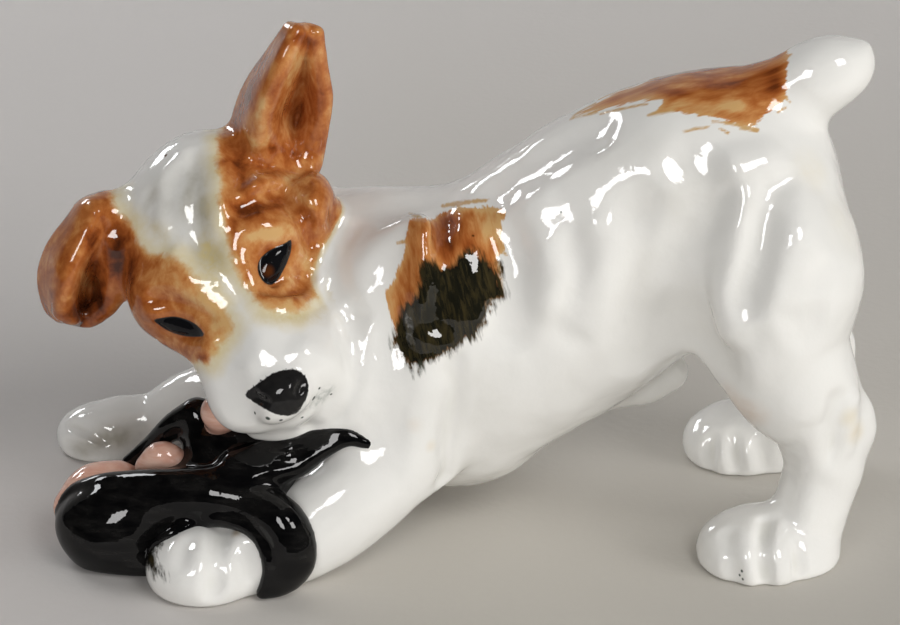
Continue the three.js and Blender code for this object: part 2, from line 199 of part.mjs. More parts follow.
// a form as {lo, hi, dist}
function solidForm(kind, data, extra) {
  if (kind === "ball") {
    const c = data.slice(0, 3), r = data.slice(3), M = extra.length ? extra : [[1, 0, 0], [0, 1, 0], [0, 0, 1]];
    const e = [0, 1, 2].map((j) => Math.hypot(M[0][j] * r[0], M[1][j] * r[1], M[2][j] * r[2]));
    return {
      lo: c.map((v, i) => v - e[i]), hi: c.map((v, i) => v + e[i]),
      dist(x, y, z) {
        const dx = x - c[0], dy = y - c[1], dz = z - c[2];
        let k0 = 0, k1 = 0;
        for (let i = 0; i < 3; i++) {
          const q = (M[i][0] * dx + M[i][1] * dy + M[i][2] * dz) / r[i];
          k0 += q * q; k1 += (q / r[i]) * (q / r[i]);
        }
        k0 = Math.sqrt(k0); k1 = Math.sqrt(k1);
        return (k0 * (k0 - 1)) / Math.max(k1, 1e-6);
      },
    };
  }
  const narrow = kind === "barrel" ? extra[1] : 1;
  let pts;
  if (kind === "sheet") {
    const rows = data.map((row) => stations(row, extra[0]));
    pts = [];
    for (let j = 0; j < extra[0]; j++) pts.push(...stations(rows.map((row) => row[j]), extra[1]));
  } else pts = stations(data, extra[0]);
  const lo = [0, 1, 2].map((i) => Math.min(...pts.map((p) => p[i] - p[3])));
  const hi = [0, 1, 2].map((i) => Math.max(...pts.map((p) => p[i] + p[3])));
  if (kind === "sheet")
    return { lo, hi, dist(x, y, z) {
      let d = 1e3;
      for (const p of pts) d = Math.min(d, Math.hypot(x - p[0], y - p[1], z - p[2]) - p[3]);
      return d;
    } };
  const q = pts.map((p) => [p[0], p[1] / narrow, p[2], p[3]]);
  const segs = [];
  for (let i = 0; i + 1 < q.length; i++)
    if (Math.hypot(q[i + 1][0] - q[i][0], q[i + 1][1] - q[i][1], q[i + 1][2] - q[i][2]) > Math.abs(q[i][3] - q[i + 1][3]) + 1e-4)
      segs.push([q[i], q[i + 1]]);
  return { lo, hi, dist(x, y, z) {
    let d = 1e3;
    for (const [a, b] of segs) d = Math.min(d, cone(x, y / narrow, z, a, b));
    return d * (0.5 + 0.5 * narrow);
  } };
}
const forms = FORMS.map(([piece, op, kind, k, , data, extra]) => ({ piece, op, k, ...solidForm(kind, data, extra) }));

class Grid {
  constructor(lo, hi, h) {
    this.lo = lo; this.h = h;
    this.n = [0, 1, 2].map((i) => Math.ceil((hi[i] - lo[i]) / h) + 1);
    this.v = new Float32Array(this.n[0] * this.n[1] * this.n[2]).fill(8);
  }
  id(i, j, k) { return (i * this.n[1] + j) * this.n[2] + k; }
  like() { return new Grid(this.lo, this.lo.map((v, i) => v + (this.n[i] - 1.5) * this.h), this.h); }
  work(form) {
    const m = 3 + form.k, a = [], b = [];
    for (let i = 0; i < 3; i++) {
      a.push(Math.max(0, Math.floor((form.lo[i] - m - this.lo[i]) / this.h)));
      b.push(Math.min(this.n[i], Math.ceil((form.hi[i] + m - this.lo[i]) / this.h) + 1));
      if (b[i] <= a[i]) return;
    }
    for (let i = a[0]; i < b[0]; i++)
      for (let j = a[1]; j < b[1]; j++)
        for (let k = a[2]; k < b[2]; k++) {
          const d = form.dist(this.lo[0] + i * this.h, this.lo[1] + j * this.h, this.lo[2] + k * this.h), id = this.id(i, j, k);
          this.v[id] = form.op === "add" ? smin(this.v[id], d, form.k) : smax(this.v[id], -d, form.k);
        }
  }
  // the piece, or the whole blended dog
  fill(what) {
    const parts = what === "dog" ? BLEND : [[what, 0]];
    let first = true;
    for (const [part, k] of parts) {
      const g = first ? this : this.like();
      for (const f of forms) if (f.piece === part) g.work(f);
      if (!first) for (let i = 0; i < this.v.length; i++) this.v[i] = smin(this.v[i], g.v[i], k);
      first = false;
    }
    if (what === "dog") for (const f of forms) if (f.piece === "dog") this.work(f);
    return this;
  }
  offset(d) { for (let i = 0; i < this.v.length; i++) this.v[i] += d; return this; }
  at(p, dx = 0, dy = 0, dz = 0) {
    const q = [p[0] + dx, p[1] + dy, p[2] + dz], i = [], f = [];
    for (let c = 0; c < 3; c++) {
      const t = (q[c] - this.lo[c]) / this.h;
      i.push(Math.min(Math.max(Math.floor(t), 0), this.n[c] - 2)); f.push(t - i[c]);
    }
    let s = 0;
    for (let a = 0; a < 2; a++) for (let b = 0; b < 2; b++) for (let c = 0; c < 2; c++)
      s += this.v[this.id(i[0] + a, i[1] + b, i[2] + c)] * (a ? f[0] : 1 - f[0]) * (b ? f[1] : 1 - f[1]) * (c ? f[2] : 1 - f[2]);
    return s;
  }
  // closed surface as a THREE.BufferGeometry: one vertex in each crossed cell, one quad across each crossed edge
  surface() {
    const [nx, ny, nz] = this.n, v = this.v;
    for (let i = 0; i < nx; i++) for (let j = 0; j < ny; j++) for (let k = 0; k < nz; k++)
      if (!i || !j || !k || i === nx - 1 || j === ny - 1 || k === nz - 1) v[this.id(i, j, k)] = Math.max(v[this.id(i, j, k)], this.h * 0.5);
    const step = [ny * nz, nz, 1];
    for (let pass = 0, changed = true; changed && pass < 12; pass++) { // no two sheets through one cell face
      changed = false;
      for (let i = 0; i < nx - 1; i++) for (let j = 0; j < ny - 1; j++) for (let k = 0; k < nz - 1; k++) {
        const o = this.id(i, j, k);
        for (let ax = 0; ax < 3; ax++) {
          const s = step[(ax + 1) % 3], t = step[(ax + 2) % 3], c = [o, o + s, o + s + t, o + t], m = c.map((q) => v[q] < 0);
          if (m[0] === m[2] && m[1] === m[3] && m[0] !== m[1]) {
            const out = m[0] ? [c[1], c[3]] : [c[0], c[2]];
            v[v[out[0]] < v[out[1]] ? out[0] : out[1]] = -1e-3; changed = true;
          }
        }
      }
    }
    const cell = new Map(), pos = [];
    const vertex = (i, j, k) => {
      const key = this.id(i, j, k);
      if (cell.has(key)) return cell.get(key);
      let n = 0; const p = [0, 0, 0];
      const c = []; for (let a = 0; a < 8; a++) c.push([i + (a >> 2), j + ((a >> 1) & 1), k + (a & 1)]);
      for (let a = 0; a < 8; a++) for (const bit of [1, 2, 4]) if (!(a & bit)) {
        const va = v[this.id(...c[a])], vb = v[this.id(...c[a | bit])];
        if (va < 0 !== vb < 0) { const t = va / (va - vb); n++; for (let q = 0; q < 3; q++) p[q] += c[a][q] + (c[a | bit][q] - c[a][q]) * t; }
      }
      let w = p.map((x, q) => this.lo[q] + (x / n) * this.h);
      const e = this.h * 0.5;
      for (let it = 0; it < 3; it++) { // pull the vertex onto the surface
        const g = [this.at(w, e) - this.at(w, -e), this.at(w, 0, e) - this.at(w, 0, -e), this.at(w, 0, 0, e) - this.at(w, 0, 0, -e)].map((x) => x / (2 * e));
        const gg = Math.max(g[0] * g[0] + g[1] * g[1] + g[2] * g[2], 0.15), d = this.at(w);
        w = w.map((x, q) => x - Math.max(-0.3 * this.h, Math.min(0.3 * this.h, (d * g[q]) / gg)));
      }
      w = w.map((x, q) => { const m = this.lo[q] + [i, j, k][q] * this.h; return Math.min(Math.max(x, m + 0.02 * this.h), m + 0.98 * this.h); });
      const id = pos.length / 3; pos.push(...w); cell.set(key, id); return id;
    };
    const index = [];
    for (let i = 0; i < nx - 1; i++) for (let j = 0; j < ny - 1; j++) for (let k = 0; k < nz - 1; k++) {
      const o = this.id(i, j, k), inside = v[o] < 0, at = [i, j, k];
      for (let ax = 0; ax < 3; ax++) {
        const s = (ax + 1) % 3, t = (ax + 2) % 3;
        if (!at[s] || !at[t] || inside === v[o + step[ax]] < 0) continue;
        const q = [[0, 0], [1, 0], [1, 1], [0, 1]].map(([ds, dt]) => { const c = [i, j, k]; c[s] -= ds; c[t] -= dt; return vertex(...c); });
        if (inside) index.push(q[0], q[1], q[2], q[0], q[2], q[3]);
        else index.push(q[0], q[2], q[1], q[0], q[3], q[2]);
      }
    }
    const g = new THREE.BufferGeometry();
    g.setAttribute("position", new THREE.BufferAttribute(new Float32Array(pos), 3));
    g.setIndex(index);
    return g;
  }
}

// ---- joining and cutting ----
const wasm = await Module();
wasm.setup();
function solid(geometry) {
  let g = geometry;
  if (g.getAttribute("uv")) { // three.js primitives repeat vertices along their edges
    const flat = g.toNonIndexed().getAttribute("position"), seen = new Map(), pos = [], index = [];
    for (let i = 0; i < flat.count; i++) {
      const p = [flat.getX(i), flat.getY(i), flat.getZ(i)], key = p.map((x) => Math.round(x * 1e4)).join();
      if (!seen.has(key)) { seen.set(key, pos.length / 3); pos.push(...p); }
      index.push(seen.get(key));
    }
    const keep = [];
    for (let i = 0; i < index.length; i += 3)
      if (index[i] !== index[i + 1] && index[i + 1] !== index[i + 2] && index[i] !== index[i + 2]) keep.push(index[i], index[i + 1], index[i + 2]);
    g = new THREE.BufferGeometry();
    g.setAttribute("position", new THREE.BufferAttribute(new Float32Array(pos), 3));
    g.setIndex(keep);
  }
  return new wasm.Manifold(new wasm.Mesh({ numProp: 3, vertProperties: new Float32Array(g.getAttribute("position").array), triVerts: new Uint32Array(g.index.array) }));
}
function box(seam, grow = 0) {
  const x = new THREE.Vector3(...seam.x).normalize(), y = new THREE.Vector3(...seam.y);
  y.addScaledVector(x, -y.dot(x)).normalize();
  const m = new THREE.Matrix4().makeBasis(x, y, x.clone().cross(y)).setPosition(...seam.at);
  return solid(new THREE.BoxGeometry(...seam.size.map((s) => s + 2 * grow)).applyMatrix4(m));
}
const block = (lo, hi) => solid(new THREE.BoxGeometry(hi[0] - lo[0], hi[1] - lo[1], hi[2] - lo[2]).translate((lo[0] + hi[0]) / 2, (lo[1] + hi[1]) / 2, (lo[2] + hi[2]) / 2));
const biggest = (m) => m.decompose().reduce((a, b) => (b.volume() > a.volume() ? b : a));
const ground = block([-200, -200, 0], [200, 200, 200]);
const dog = (lo, hi, h, d = 0) => solid(new Grid(lo, hi, h).fill("dog").offset(d).surface());

const pieces = {};
const cutBy = (m, names, grow) => names.reduce((a, n) => a.subtract(box(SEAMS[n], grow)), m);
const limbs = ["tail", "left_hind_leg", "right_hind_leg", "left_foreleg", "right_foreleg"];

// body: everything of the dog outside the seam boxes, hollow, open at the neck and at the vent
{
  const lo = [-34, -34, -4], hi = [66, 32, 86];
  const outer = cutBy(dog(lo, hi, CELL.torso), [...limbs, "head"], SEAM_GAP).intersect(ground);
  const inner = cutBy(dog(lo, hi, CELL.cavity, WALL), limbs, SEAM_GAP + WALL).intersect(block([-19.5, -60, WALL], [200, 60, 200]));
  const vent = solid(new THREE.CylinderGeometry(VENT_D / 2, VENT_D / 2, 24, 24).rotateX(Math.PI / 2).translate(VENT_AT[0], VENT_AT[1], 14));
  pieces.torso = biggest(biggest(outer).subtract(biggest(inner)).subtract(vent));
}
// head: hollow, open at the neck
{
  const lo = [-64, -36, 14], hi = [-6, 28, 86];
  const whole = cutBy(dog(lo, hi, CELL.head).intersect(box(SEAMS.head)), ["left_ear", "right_ear", "left_foreleg", "right_foreleg"], SEAM_GAP);
  const inner = cutBy(dog(lo, hi, CELL.cavity, WALL), ["left_ear", "right_ear", "left_foreleg", "right_foreleg"], SEAM_GAP + WALL)
    .intersect(block([-200, -60, SEAMS.head.at[2] - SEAMS.head.size[2] / 2 + WALL], [-12, 60, 200]));
  pieces.head = biggest(biggest(whole).subtract(biggest(inner)));
}
// ears, legs and tail: solid
const small = {
  left_ear: [[-44, -20, 58], [-4, 24, 88], CELL.ear],
  right_ear: [[-68, -24, 20], [-40, 16, 66], CELL.ear],
  left_foreleg: [[-54, -42, -4], [2, -2, 30], CELL.leg],
  right_foreleg: [[-68, 2, -4], [-16, 32, 24], CELL.leg],
  left_hind_leg: [[30, -36, -4], [70, 2, 34], CELL.leg],
  right_hind_leg: [[30, -2, -4], [70, 32, 34], CELL.leg],
  tail: [[40, -14, 54], [70, 14, 88], CELL.tail],
};
for (const [name, [lo, hi, h]] of Object.entries(small))
  pieces[name] = biggest(dog(lo, hi, h).intersect(box(SEAMS[name])).intersect(ground));

// the slipper, clear of the dog and of its own lining
{
  const lo = [-68, -46, -4], hi = [-2, 12, 34];
  const clearOfDog = dog(lo, hi, CELL.clear, -CONTACT_GAP);
  const form = (what, d = 0) => solid(new Grid(lo, hi, CELL.slipper).fill(what).offset(d).surface());
  pieces.slipper_lining = biggest(form("slipper_lining").subtract(clearOfDog).intersect(ground));
  pieces.slipper_upper = biggest(form("slipper_upper").subtract(clearOfDog).subtract(form("slipper_lining", -CONTACT_GAP)).intersect(ground));
}

// ---- meshes ----
const china = new THREE.MeshStandardMaterial({ color: 0xeeeae2, roughness: 0.12 });
const black = new THREE.MeshStandardMaterial({ color: 0x17171a, roughness: 0.12 });
const pink = new THREE.MeshStandardMaterial({ color: 0xd9a28f, roughness: 0.15 });
const looks = { slipper_upper: black, slipper_lining: pink };
const group = new THREE.Group();
for (const [name, m] of Object.entries(pieces)) {
  const mesh = m.getMesh(), g = new THREE.BufferGeometry(), n = mesh.numProp;
  const pos = new Float32Array((mesh.vertProperties.length / n) * 3);
  for (let i = 0; i < pos.length / 3; i++) for (let c = 0; c < 3; c++) pos[i * 3 + c] = mesh.vertProperties[i * n + c];
  g.setAttribute("position", new THREE.BufferAttribute(pos, 3));
  g.setIndex(Array.from(mesh.triVerts));
  g.translate(SHIFT[0], SHIFT[1], 0);
  g.computeVertexNormals();
  const out = new THREE.Mesh(g, looks[name] ?? china);
  out.name = name;
  group.add(out);
}
group.name = "china_dog_with_slipper";
export default group;
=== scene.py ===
"""Looks of a glazed china figurine: a terrier puppy that chews a slipper. Blender 4.5, metres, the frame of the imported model.

The dog is one soft form, described by the same rounded forms as the CAD solids but worked out much finer, and parted on the
same flat seams, so that every piece stands where its CAD node stands. Paint is laid on by distance from the borders of each
patch, which are stored on the points of the meshes, and finished with brush streaks in the shader nodes.
"""
import math
import time
import bpy
import bmesh
import numpy as np
from mathutils import Matrix, Vector
from mathutils.bvhtree import BVHTree
from mathutils.kdtree import KDTree


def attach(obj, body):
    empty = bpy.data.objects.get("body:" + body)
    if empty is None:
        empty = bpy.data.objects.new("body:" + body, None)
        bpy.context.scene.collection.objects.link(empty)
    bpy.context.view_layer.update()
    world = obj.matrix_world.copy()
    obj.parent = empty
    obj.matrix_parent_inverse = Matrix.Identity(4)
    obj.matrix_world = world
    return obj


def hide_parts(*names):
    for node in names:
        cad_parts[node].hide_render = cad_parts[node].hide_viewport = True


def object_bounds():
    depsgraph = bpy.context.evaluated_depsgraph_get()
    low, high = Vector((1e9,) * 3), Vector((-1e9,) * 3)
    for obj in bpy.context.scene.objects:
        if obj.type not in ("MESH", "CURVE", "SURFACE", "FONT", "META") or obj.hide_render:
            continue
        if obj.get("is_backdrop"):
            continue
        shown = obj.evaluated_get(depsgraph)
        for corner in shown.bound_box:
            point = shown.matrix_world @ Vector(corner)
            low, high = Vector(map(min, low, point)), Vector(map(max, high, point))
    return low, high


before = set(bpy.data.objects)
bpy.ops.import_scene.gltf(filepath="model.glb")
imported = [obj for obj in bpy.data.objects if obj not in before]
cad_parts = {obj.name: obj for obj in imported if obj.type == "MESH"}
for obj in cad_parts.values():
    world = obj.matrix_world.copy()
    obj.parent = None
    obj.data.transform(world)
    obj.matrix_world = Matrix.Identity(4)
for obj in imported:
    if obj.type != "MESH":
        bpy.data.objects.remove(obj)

CAD_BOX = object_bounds()
T0 = time.time()
MM = 0.001
f32 = np.float32

# ---- driving numbers (mm) ----
FINE = 0.43  # edge of the cells that the surface is worked out on
COARSE = FINE * 4
SHIFT = np.array([0.196, 4.353, 0.0])  # from the sculpting axes to the row's axes
LO, HI = np.array([-66.0, -46.0, -3.0]), np.array([66.0, 34.0, 86.0])
RELIEF = 0.26  # height of the fine lumps of the coat
BLEND = [["torso", 0], ["left_hind_leg", 3], ["right_hind_leg", 3], ["left_foreleg", 3], ["right_foreleg", 4], ["tail", 3], ["head", 3.5], ["left_ear", 2.5], ["right_ear", 2.5]]
SEAMS = {
    "tail": dict(at=[62.9, 0, 80.9], x=[0.8, 0, 0.6], y=[0, 1, 0], size=[30, 40, 60]),
    "left_hind_leg": dict(at=[55.8, -22, 11], x=[1, 0, 0], y=[0, 1, 0], size=[44.4, 40, 30]),
    "right_hind_leg": dict(at=[55.8, 22, 11], x=[1, 0, 0], y=[0, 1, 0], size=[44.4, 40, 30]),
    "left_foreleg": dict(at=[-27.5, -22.2, 7.2], x=[-0.86, -0.32, -0.4], y=[-0.35, 0.94, 0], size=[40, 26, 19]),
    "right_foreleg": dict(at=[-50, 17, 6], x=[1, 0, 0], y=[0, 1, 0], size=[52, 26, 24]),
    "left_ear": dict(at=[-25, 3, 76], x=[0.93, 0, -0.37], y=[0, 1, 0], size=[40, 34, 30]),
    "right_ear": dict(at=[-64.4, -4, 46], x=[1, 0, -0.1], y=[0, 1, 0], size=[30, 36, 40]),
    "head": dict(at=[-46, -4, 58.8], x=[1, 0, 0], y=[0, 1, 0], size=[60, 80, 80]),
}

# ---- the camera: it stands 600 mm from the figure, 25 degrees up ----
ELEV = math.radians(25.0)
AIM = np.array([-1.0, 0.0, 31.2])
DIST = 600.0
LOOK = np.array([0, math.cos(ELEV), -math.sin(ELEV)])
RIGHT = np.array([1.0, 0, 0])
UP = np.array([0, math.sin(ELEV), math.cos(ELEV)])
EYE = AIM - DIST * LOOK
FOCAL = 6.8 * DIST  # in pixels of the 900 wide picture


def project(p):
    """points in mm, sculpting axes -> places in the 900 by 625 picture"""
    q = np.asarray(p, float) - EYE
    z = q @ LOOK
    return np.stack([450 + FOCAL * (q @ RIGHT) / z, 312.5 - FOCAL * (q @ UP) / z], -1)


# ---- the forms: [piece, add or sub, kind, blend radius, what it is, numbers, detail] ----
# ball: x, y, z, rx, ry, rz, turned by detail; limb: round rod through x, y, z, r; barrel: the same, narrowed across y;
# sheet: a leaf through rows of x, y, z, r. Rows named "dog" work on the whole blended dog.
FORMS = [
    ["torso", "add", "barrel", 0, "barrel of the body from croup to shoulders", [[39.24,0,53.48,15.6],[35,0,49.7,18.6],[29.55,0,46.53,19.6],[23.79,0,43.35,19.8],[18.01,0,38.87,20.3],[12.2,0,34.68,20.4],[6.35,0,31.12,20.6],[0.47,0,28.03,20.6],[-3.07,0,26.72,19.5]], [34,0.88]],
    ["torso", "add", "limb", 6, "neck, curving round to the back of the skull", [[-2.48,1,28.21,17.5],[-9.55,1.5,31.39,15],[-16.49,3,33.3,14.2],[-23.21,6.5,35.44,13]], [24]],
    ["torso", "add", "limb", 5, "throat and front of the chest", [[-10.53,0,35.65,13.5],[-12.95,-6.5,30.61,12],[-13.8,-10.5,24.46,10],[-12.92,-13,19.7,7.6]], [24]],
    ["torso", "add", "ball", 4, "loose skin between cheek and chest", [-15.57,-14,28.26,6,6.8,9.5], []],
    ["torso", "add", "ball", 6, "brisket", [0.78,0,15.2,10.5,11,10.3], []],
    ["torso", "add", "ball", 5, "left shoulder", [-4.61,-11,34.34,10,7.5,17], []],
    ["torso", "add", "ball", 5, "right shoulder", [-4.75,11,25.66,10,7.5,17], []],
    ["torso", "add", "limb", 5, "left upper arm", [[-4.62,-13,26.49,7.5],[-5.93,-15,17.78,6.3]], [24]],
    ["torso", "add", "limb", 5, "left thigh", [[43.11,-7,48.81,12.3],[45.37,-10.5,42.51,13],[45.49,-12.5,34.57,11],[48.97,-14,26.65,8.2]], [24]],
    ["torso", "add", "limb", 5, "right thigh", [[42.51,7,48.81,12.3],[44.77,10.5,42.51,13],[44.89,12.5,34.57,11],[48.37,14,26.65,8.2]], [24]],
    ["torso", "add", "limb", 3, "skin of the groin", [[21.88,1,18.68,3.2],[27.23,1.5,19.6,3.9],[31.1,2,20.68,3.3]], [8]],
    ["left_hind_leg", "add", "limb", 0, "left gaskin, hock and hind pastern", [[48.97,-14,26.65,8.2],[51.59,-14,22.14,6.9],[52.94,-14,17.27,6.1],[53.5,-14.3,13.35,5.9],[52.29,-15.2,8.89,5.5],[50.62,-16.5,3.8,5.6],[49.53,-17,0.42,5.6]], [34]],
    ["left_hind_leg", "add", "ball", 3, "left point of the hock", [57.54,-13.5,19.62,3.3,3,4.6], []],
    ["left_hind_leg", "add", "ball", 2.5, "left hind paw", [44.27,-18.5,1.56,9.3,9.1,6.2], []],
    ["left_hind_leg", "add", "ball", 2, "left hind pad, outer side", [50.19,-18,0.3,5.5,6.5,5.2], []],
    ["right_hind_leg", "add", "limb", 0, "right gaskin, hock and hind pastern", [[48.37,12.65,26.65,8.2],[50.99,12.32,22.14,6.9],[52.26,11.97,17.27,6.1],[52.71,12.1,13.35,5.9],[51.37,13,8.89,5.5],[49.62,14.3,3.8,5.6],[48.53,14.8,0.42,5.6]], [34]],
    ["right_hind_leg", "add", "ball", 3, "right point of the hock", [56.93,11.64,19.62,3.3,3,4.6], []],
    ["right_hind_leg", "add", "ball", 2.5, "right hind paw", [43.27,16.3,1.56,8.5,9.1,6.2], []],
    ["right_hind_leg", "add", "ball", 2, "right hind pad, outer side", [49.19,15.8,0.3,5.5,6.5,5.2], []],
    ["left_foreleg", "add", "limb", 0, "left forearm", [[-5.93,-15.5,17.06,6.5],[-9.7,-17,14.73,7],[-15.48,-20,10.58,7.2],[-21.53,-22.5,7,6.8],[-27.7,-24.8,4.47,6]], [24]],
    ["left_foreleg", "add", "ball", 3, "left forepaw", [-36.62,-26,2.99,8.4,8.3,6.1], []],
    ["right_foreleg", "add", "limb", 0, "right forearm", [[-8.59,12,10.95,9],[-23.84,14,10.81,8],[-33.85,15.5,8.88,7],[-40.87,17,7.12,5.6],[-45.6,18,4.73,4.5],[-51.05,18,2.84,5.2]], [24]],
    ["right_foreleg", "add", "ball", 3, "right forepaw", [-55.24,18,1.98,6.2,6.3,4.8], []],
    ["tail", "add", "limb", 0, "docked tail", [[44.14,0,63,5.8],[48.62,0,66.41,5.8],[52.54,0,68.87,5.5],[55.49,0,70.25,4.2],[57.28,0,71.94,2.2]], [24]],
    ["head", "add", "ball", 0, "skull", [-36.63,1.99,44.17,15,13.9,12.2], [[0.21,-0.97,-0.14],[0.82,0.1,0.56],[-0.53,-0.23,0.81]]],
    ["head", "add", "ball", 4, "crown", [-35.34,1.58,48.94,10,8.2,8.8], [[0.21,-0.97,-0.14],[0.82,0.1,0.56],[-0.53,-0.23,0.81]]],
    ["head", "add", "ball", 4, "forehead", [-34.42,-6.76,40.15,8.5,12,7.5], [[0.21,-0.97,-0.14],[0.82,0.1,0.56],[-0.53,-0.23,0.81]]],
    ["head", "add", "ball", 4, "left temple", [-27.29,-3.35,45.15,8.5,7,9], [[0.21,-0.97,-0.14],[0.82,0.1,0.56],[-0.53,-0.23,0.81]]],
    ["head", "add", "ball", 3, "right brow", [-42.22,-6.92,36.63,7,5,5.6], [[0.21,-0.97,-0.14],[0.82,0.1,0.56],[-0.53,-0.23,0.81]]],
    ["head", "add", "ball", 4, "stop", [-29.19,-13.46,33.65,9.5,9.6,8.2], [[0.21,-0.97,-0.14],[0.82,0.1,0.56],[-0.53,-0.23,0.81]]],
    ["head", "add", "ball", 4, "muzzle", [-26.07,-18.98,30.05,7.6,10.4,6.6], [[0.21,-0.97,-0.14],[0.82,0.1,0.56],[-0.53,-0.23,0.81]]],
    ["head", "add", "ball", 1.5, "nose", [-24.86,-25.74,29.99,3.3,4.6,3.4], [[0.21,-0.97,-0.14],[0.82,0.1,0.56],[-0.53,-0.23,0.81]]],
    ["head", "add", "ball", 2.5, "lower lip", [-23.13,-16.3,26.72,7,5.6,3.4], [[0.21,-0.97,-0.14],[0.82,0.1,0.56],[-0.53,-0.23,0.81]]],
    ["head", "add", "ball", 4, "left cheek", [-23.06,0.5,39.2,8,5.5,7], [[0.21,-0.97,-0.14],[0.82,0.1,0.56],[-0.53,-0.23,0.81]]],
    ["head", "add", "ball", 2, "fur behind the left temple", [-20.92,-3.5,49.8,3.4,5,5], []],
    ["head", "add", "limb", 3, "lower jaw on the slipper", [[-28.63,-18.8,21.31,1.2],[-24.6,-18.8,21.63,1.9],[-20.31,-17.6,22.16,2.6]], [8]],
    ["head", "add", "ball", 3, "right cheek", [-36.16,-4.45,32.32,6.5,4.2,4.8], [[0.21,-0.97,-0.14],[0.82,0.1,0.56],[-0.53,-0.23,0.81]]],
    ["left_ear", "add", "sheet", 0, "upright ear", [[[-31.64,6,55.05,2.4],[-28.48,1,56.67,2.6],[-25.45,4,54.62,2.6],[-23.43,4.5,54.26,2.5],[-21.67,4,54.47,2.4]],[[-30.68,6.5,60.2,1.9],[-27.81,-1.8,63.12,1.5],[-25.17,6.5,59.25,1.6],[-22.61,8,58.32,1.6],[-19.95,2.5,59.8,1.5]],[[-29.23,5.5,64.98,1.7],[-26.41,-2.3,67.64,1.4],[-24.3,5,64.4,1.5],[-21.76,6.5,63.49,1.4],[-19.29,2,64.83,1.4]],[[-26.48,4,69.76,1.5],[-24.64,-2,71.81,1.3],[-23.01,3.5,69.49,1.4],[-21.32,4.5,68.94,1.3],[-19.78,1.5,70.12,1.3]],[[-23.72,1.5,74.88,1.4],[-22.8,0,75.3,1.3],[-21.86,1.5,74.88,1.3],[-21.02,2,74.53,1.3],[-20.15,1.5,74.42,1.3]]], [40,34]],
    ["left_ear", "add", "limb", 3, "root of the upright ear", [[-28.42,5,53.41,4.8],[-26.4,4,50.35,5.5]], [6]],
    ["right_ear", "add", "sheet", 0, "folded ear", [[[-53.95,0,46.53,2],[-52.43,-2,47.88,2.2],[-51.32,-1.5,47.82,2.3],[-50.5,-1,47.28,2.4],[-49.89,0,46.21,2.6]],[[-57.25,-0.5,42.93,2],[-54.05,-4.8,45,1.8],[-53.04,-0.5,42.61,1.7],[-51.55,0.5,41.53,1.8],[-49.81,-2.5,43.18,2.2]],[[-59.44,-1,38.2,1.9],[-55.91,-7,40.92,1.6],[-54.95,0.5,36.71,1.5],[-52.57,1.5,35.61,1.5],[-50.07,-3.2,38.24,2]],[[-59.01,-1.5,33.6,1.8],[-56.81,-7,36.46,1.5],[-55.6,-0.5,32.81,1.5],[-53.22,0.5,32.02,1.5],[-50.63,-3.2,34.71,1.8]],[[-57.75,-3,32.52,1.6],[-56.35,-5.3,33.27,1.5],[-55.45,-2.8,31.78,1.5],[-54.05,-2.2,31.34,1.5],[-52.63,-3,32.52,1.6]]], [36,30]],
    ["right_ear", "add", "limb", 3, "root of the folded ear", [[-50.87,1,45.29,4.5],[-47.62,3,42.01,7]], [6]],
    ["slipper_upper", "add", "ball", 0, "toe of the slipper", [-49.47,-17,5.06,9.2,8,6.6], []],
    ["slipper_upper", "add", "limb", 3, "near side of the upper, over the wrist and down to the ground", [[-49.11,-17,7.04,5.3],[-42.29,-19.5,10.32,4.6],[-35.59,-22,12.28,3.9],[-29.46,-24,11.86,3.6],[-24.89,-27.5,10.63,3.5],[-23.47,-29,7.22,3.5],[-24.3,-29.3,4.0,2.9],[-27.5,-29.6,0.3,1.2]], [24]],
    ["slipper_upper", "add", "ball", 2, "part pulled up to the mouth", [-34.72,-9.5,15,5.6,6,5.3], []],
    ["slipper_upper", "add", "sheet", 1.2, "flap lying on the left forearm", [[[-31.57,-20,16.11,2.4],[-31.79,-22,14.55,2.4]],[[-27.8,-19.6,18,1.9],[-26.87,-22.2,15.94,1.9]],[[-24.02,-19.8,19.72,1.6],[-22.82,-22.3,17.13,1.5]],[[-19.67,-20.4,20.99,1.3],[-19.35,-22,19.39,1.2]],[[-16.05,-21,21.77,1],[-15.76,-21.6,20.95,0.9]],[[-12.76,-21.4,20.53,0.6],[-12.62,-21.4,20.05,0.6]]], [5,26]],
    ["slipper_upper", "add", "limb", 1.5, "far side of the upper", [[-48.35,-6,9.42,1.3],[-45.27,-6.5,12.33,1.5],[-41.52,-8,16.55,2],[-38.03,-9,18.68,2.8]], [24]],
    ["slipper_upper", "add", "limb", 2, "fold below the mouth", [[-37.51,-14,11.06,3.5],[-34.25,-14,13.03,5]], [6]],
    ["slipper_upper", "add", "limb", 2, "edge of the upper beside the forepaw", [[-51.27,-19,3.48,5],[-47.49,-21.5,2.19,3.2],[-44.74,-23.5,2.12,2]], [10]],
    ["slipper_upper", "add", "ball", 1.5, "slipper below the chin", [-30.81,-14,17.11,4.5,4,3.6], []],
    ["slipper_upper", "add", "ball", 2, "body of the slipper", [-37.62,-14,6.94,12,8,6.6], []],
    ["slipper_upper", "add", "ball", 2, "slipper between wrist and flap", [-29.19,-19.5,13.58,6,4.5,4], []],
    ["slipper_upper", "add", "limb", 0.9, "rolled edge round the forepaw", [[-43.93,-25.6,5.39,0.7],[-42.42,-25.8,7.13,1],[-40.95,-25.8,8.11,1.1],[-38.98,-24.9,8.77,1.2],[-37,-24.1,9.15,1.2],[-34.73,-25.5,10.38,1.2],[-32.25,-26.3,10.48,1.2],[-29.92,-27.4,10.09,1.2],[-28.03,-28.7,8.85,1.2],[-27.15,-29.9,7.38,1.2],[-26.7,-30.6,5.2,1.2],[-27.1,-31,3.2,1.1],[-27.9,-30.8,1.2,0.9]], [30]],
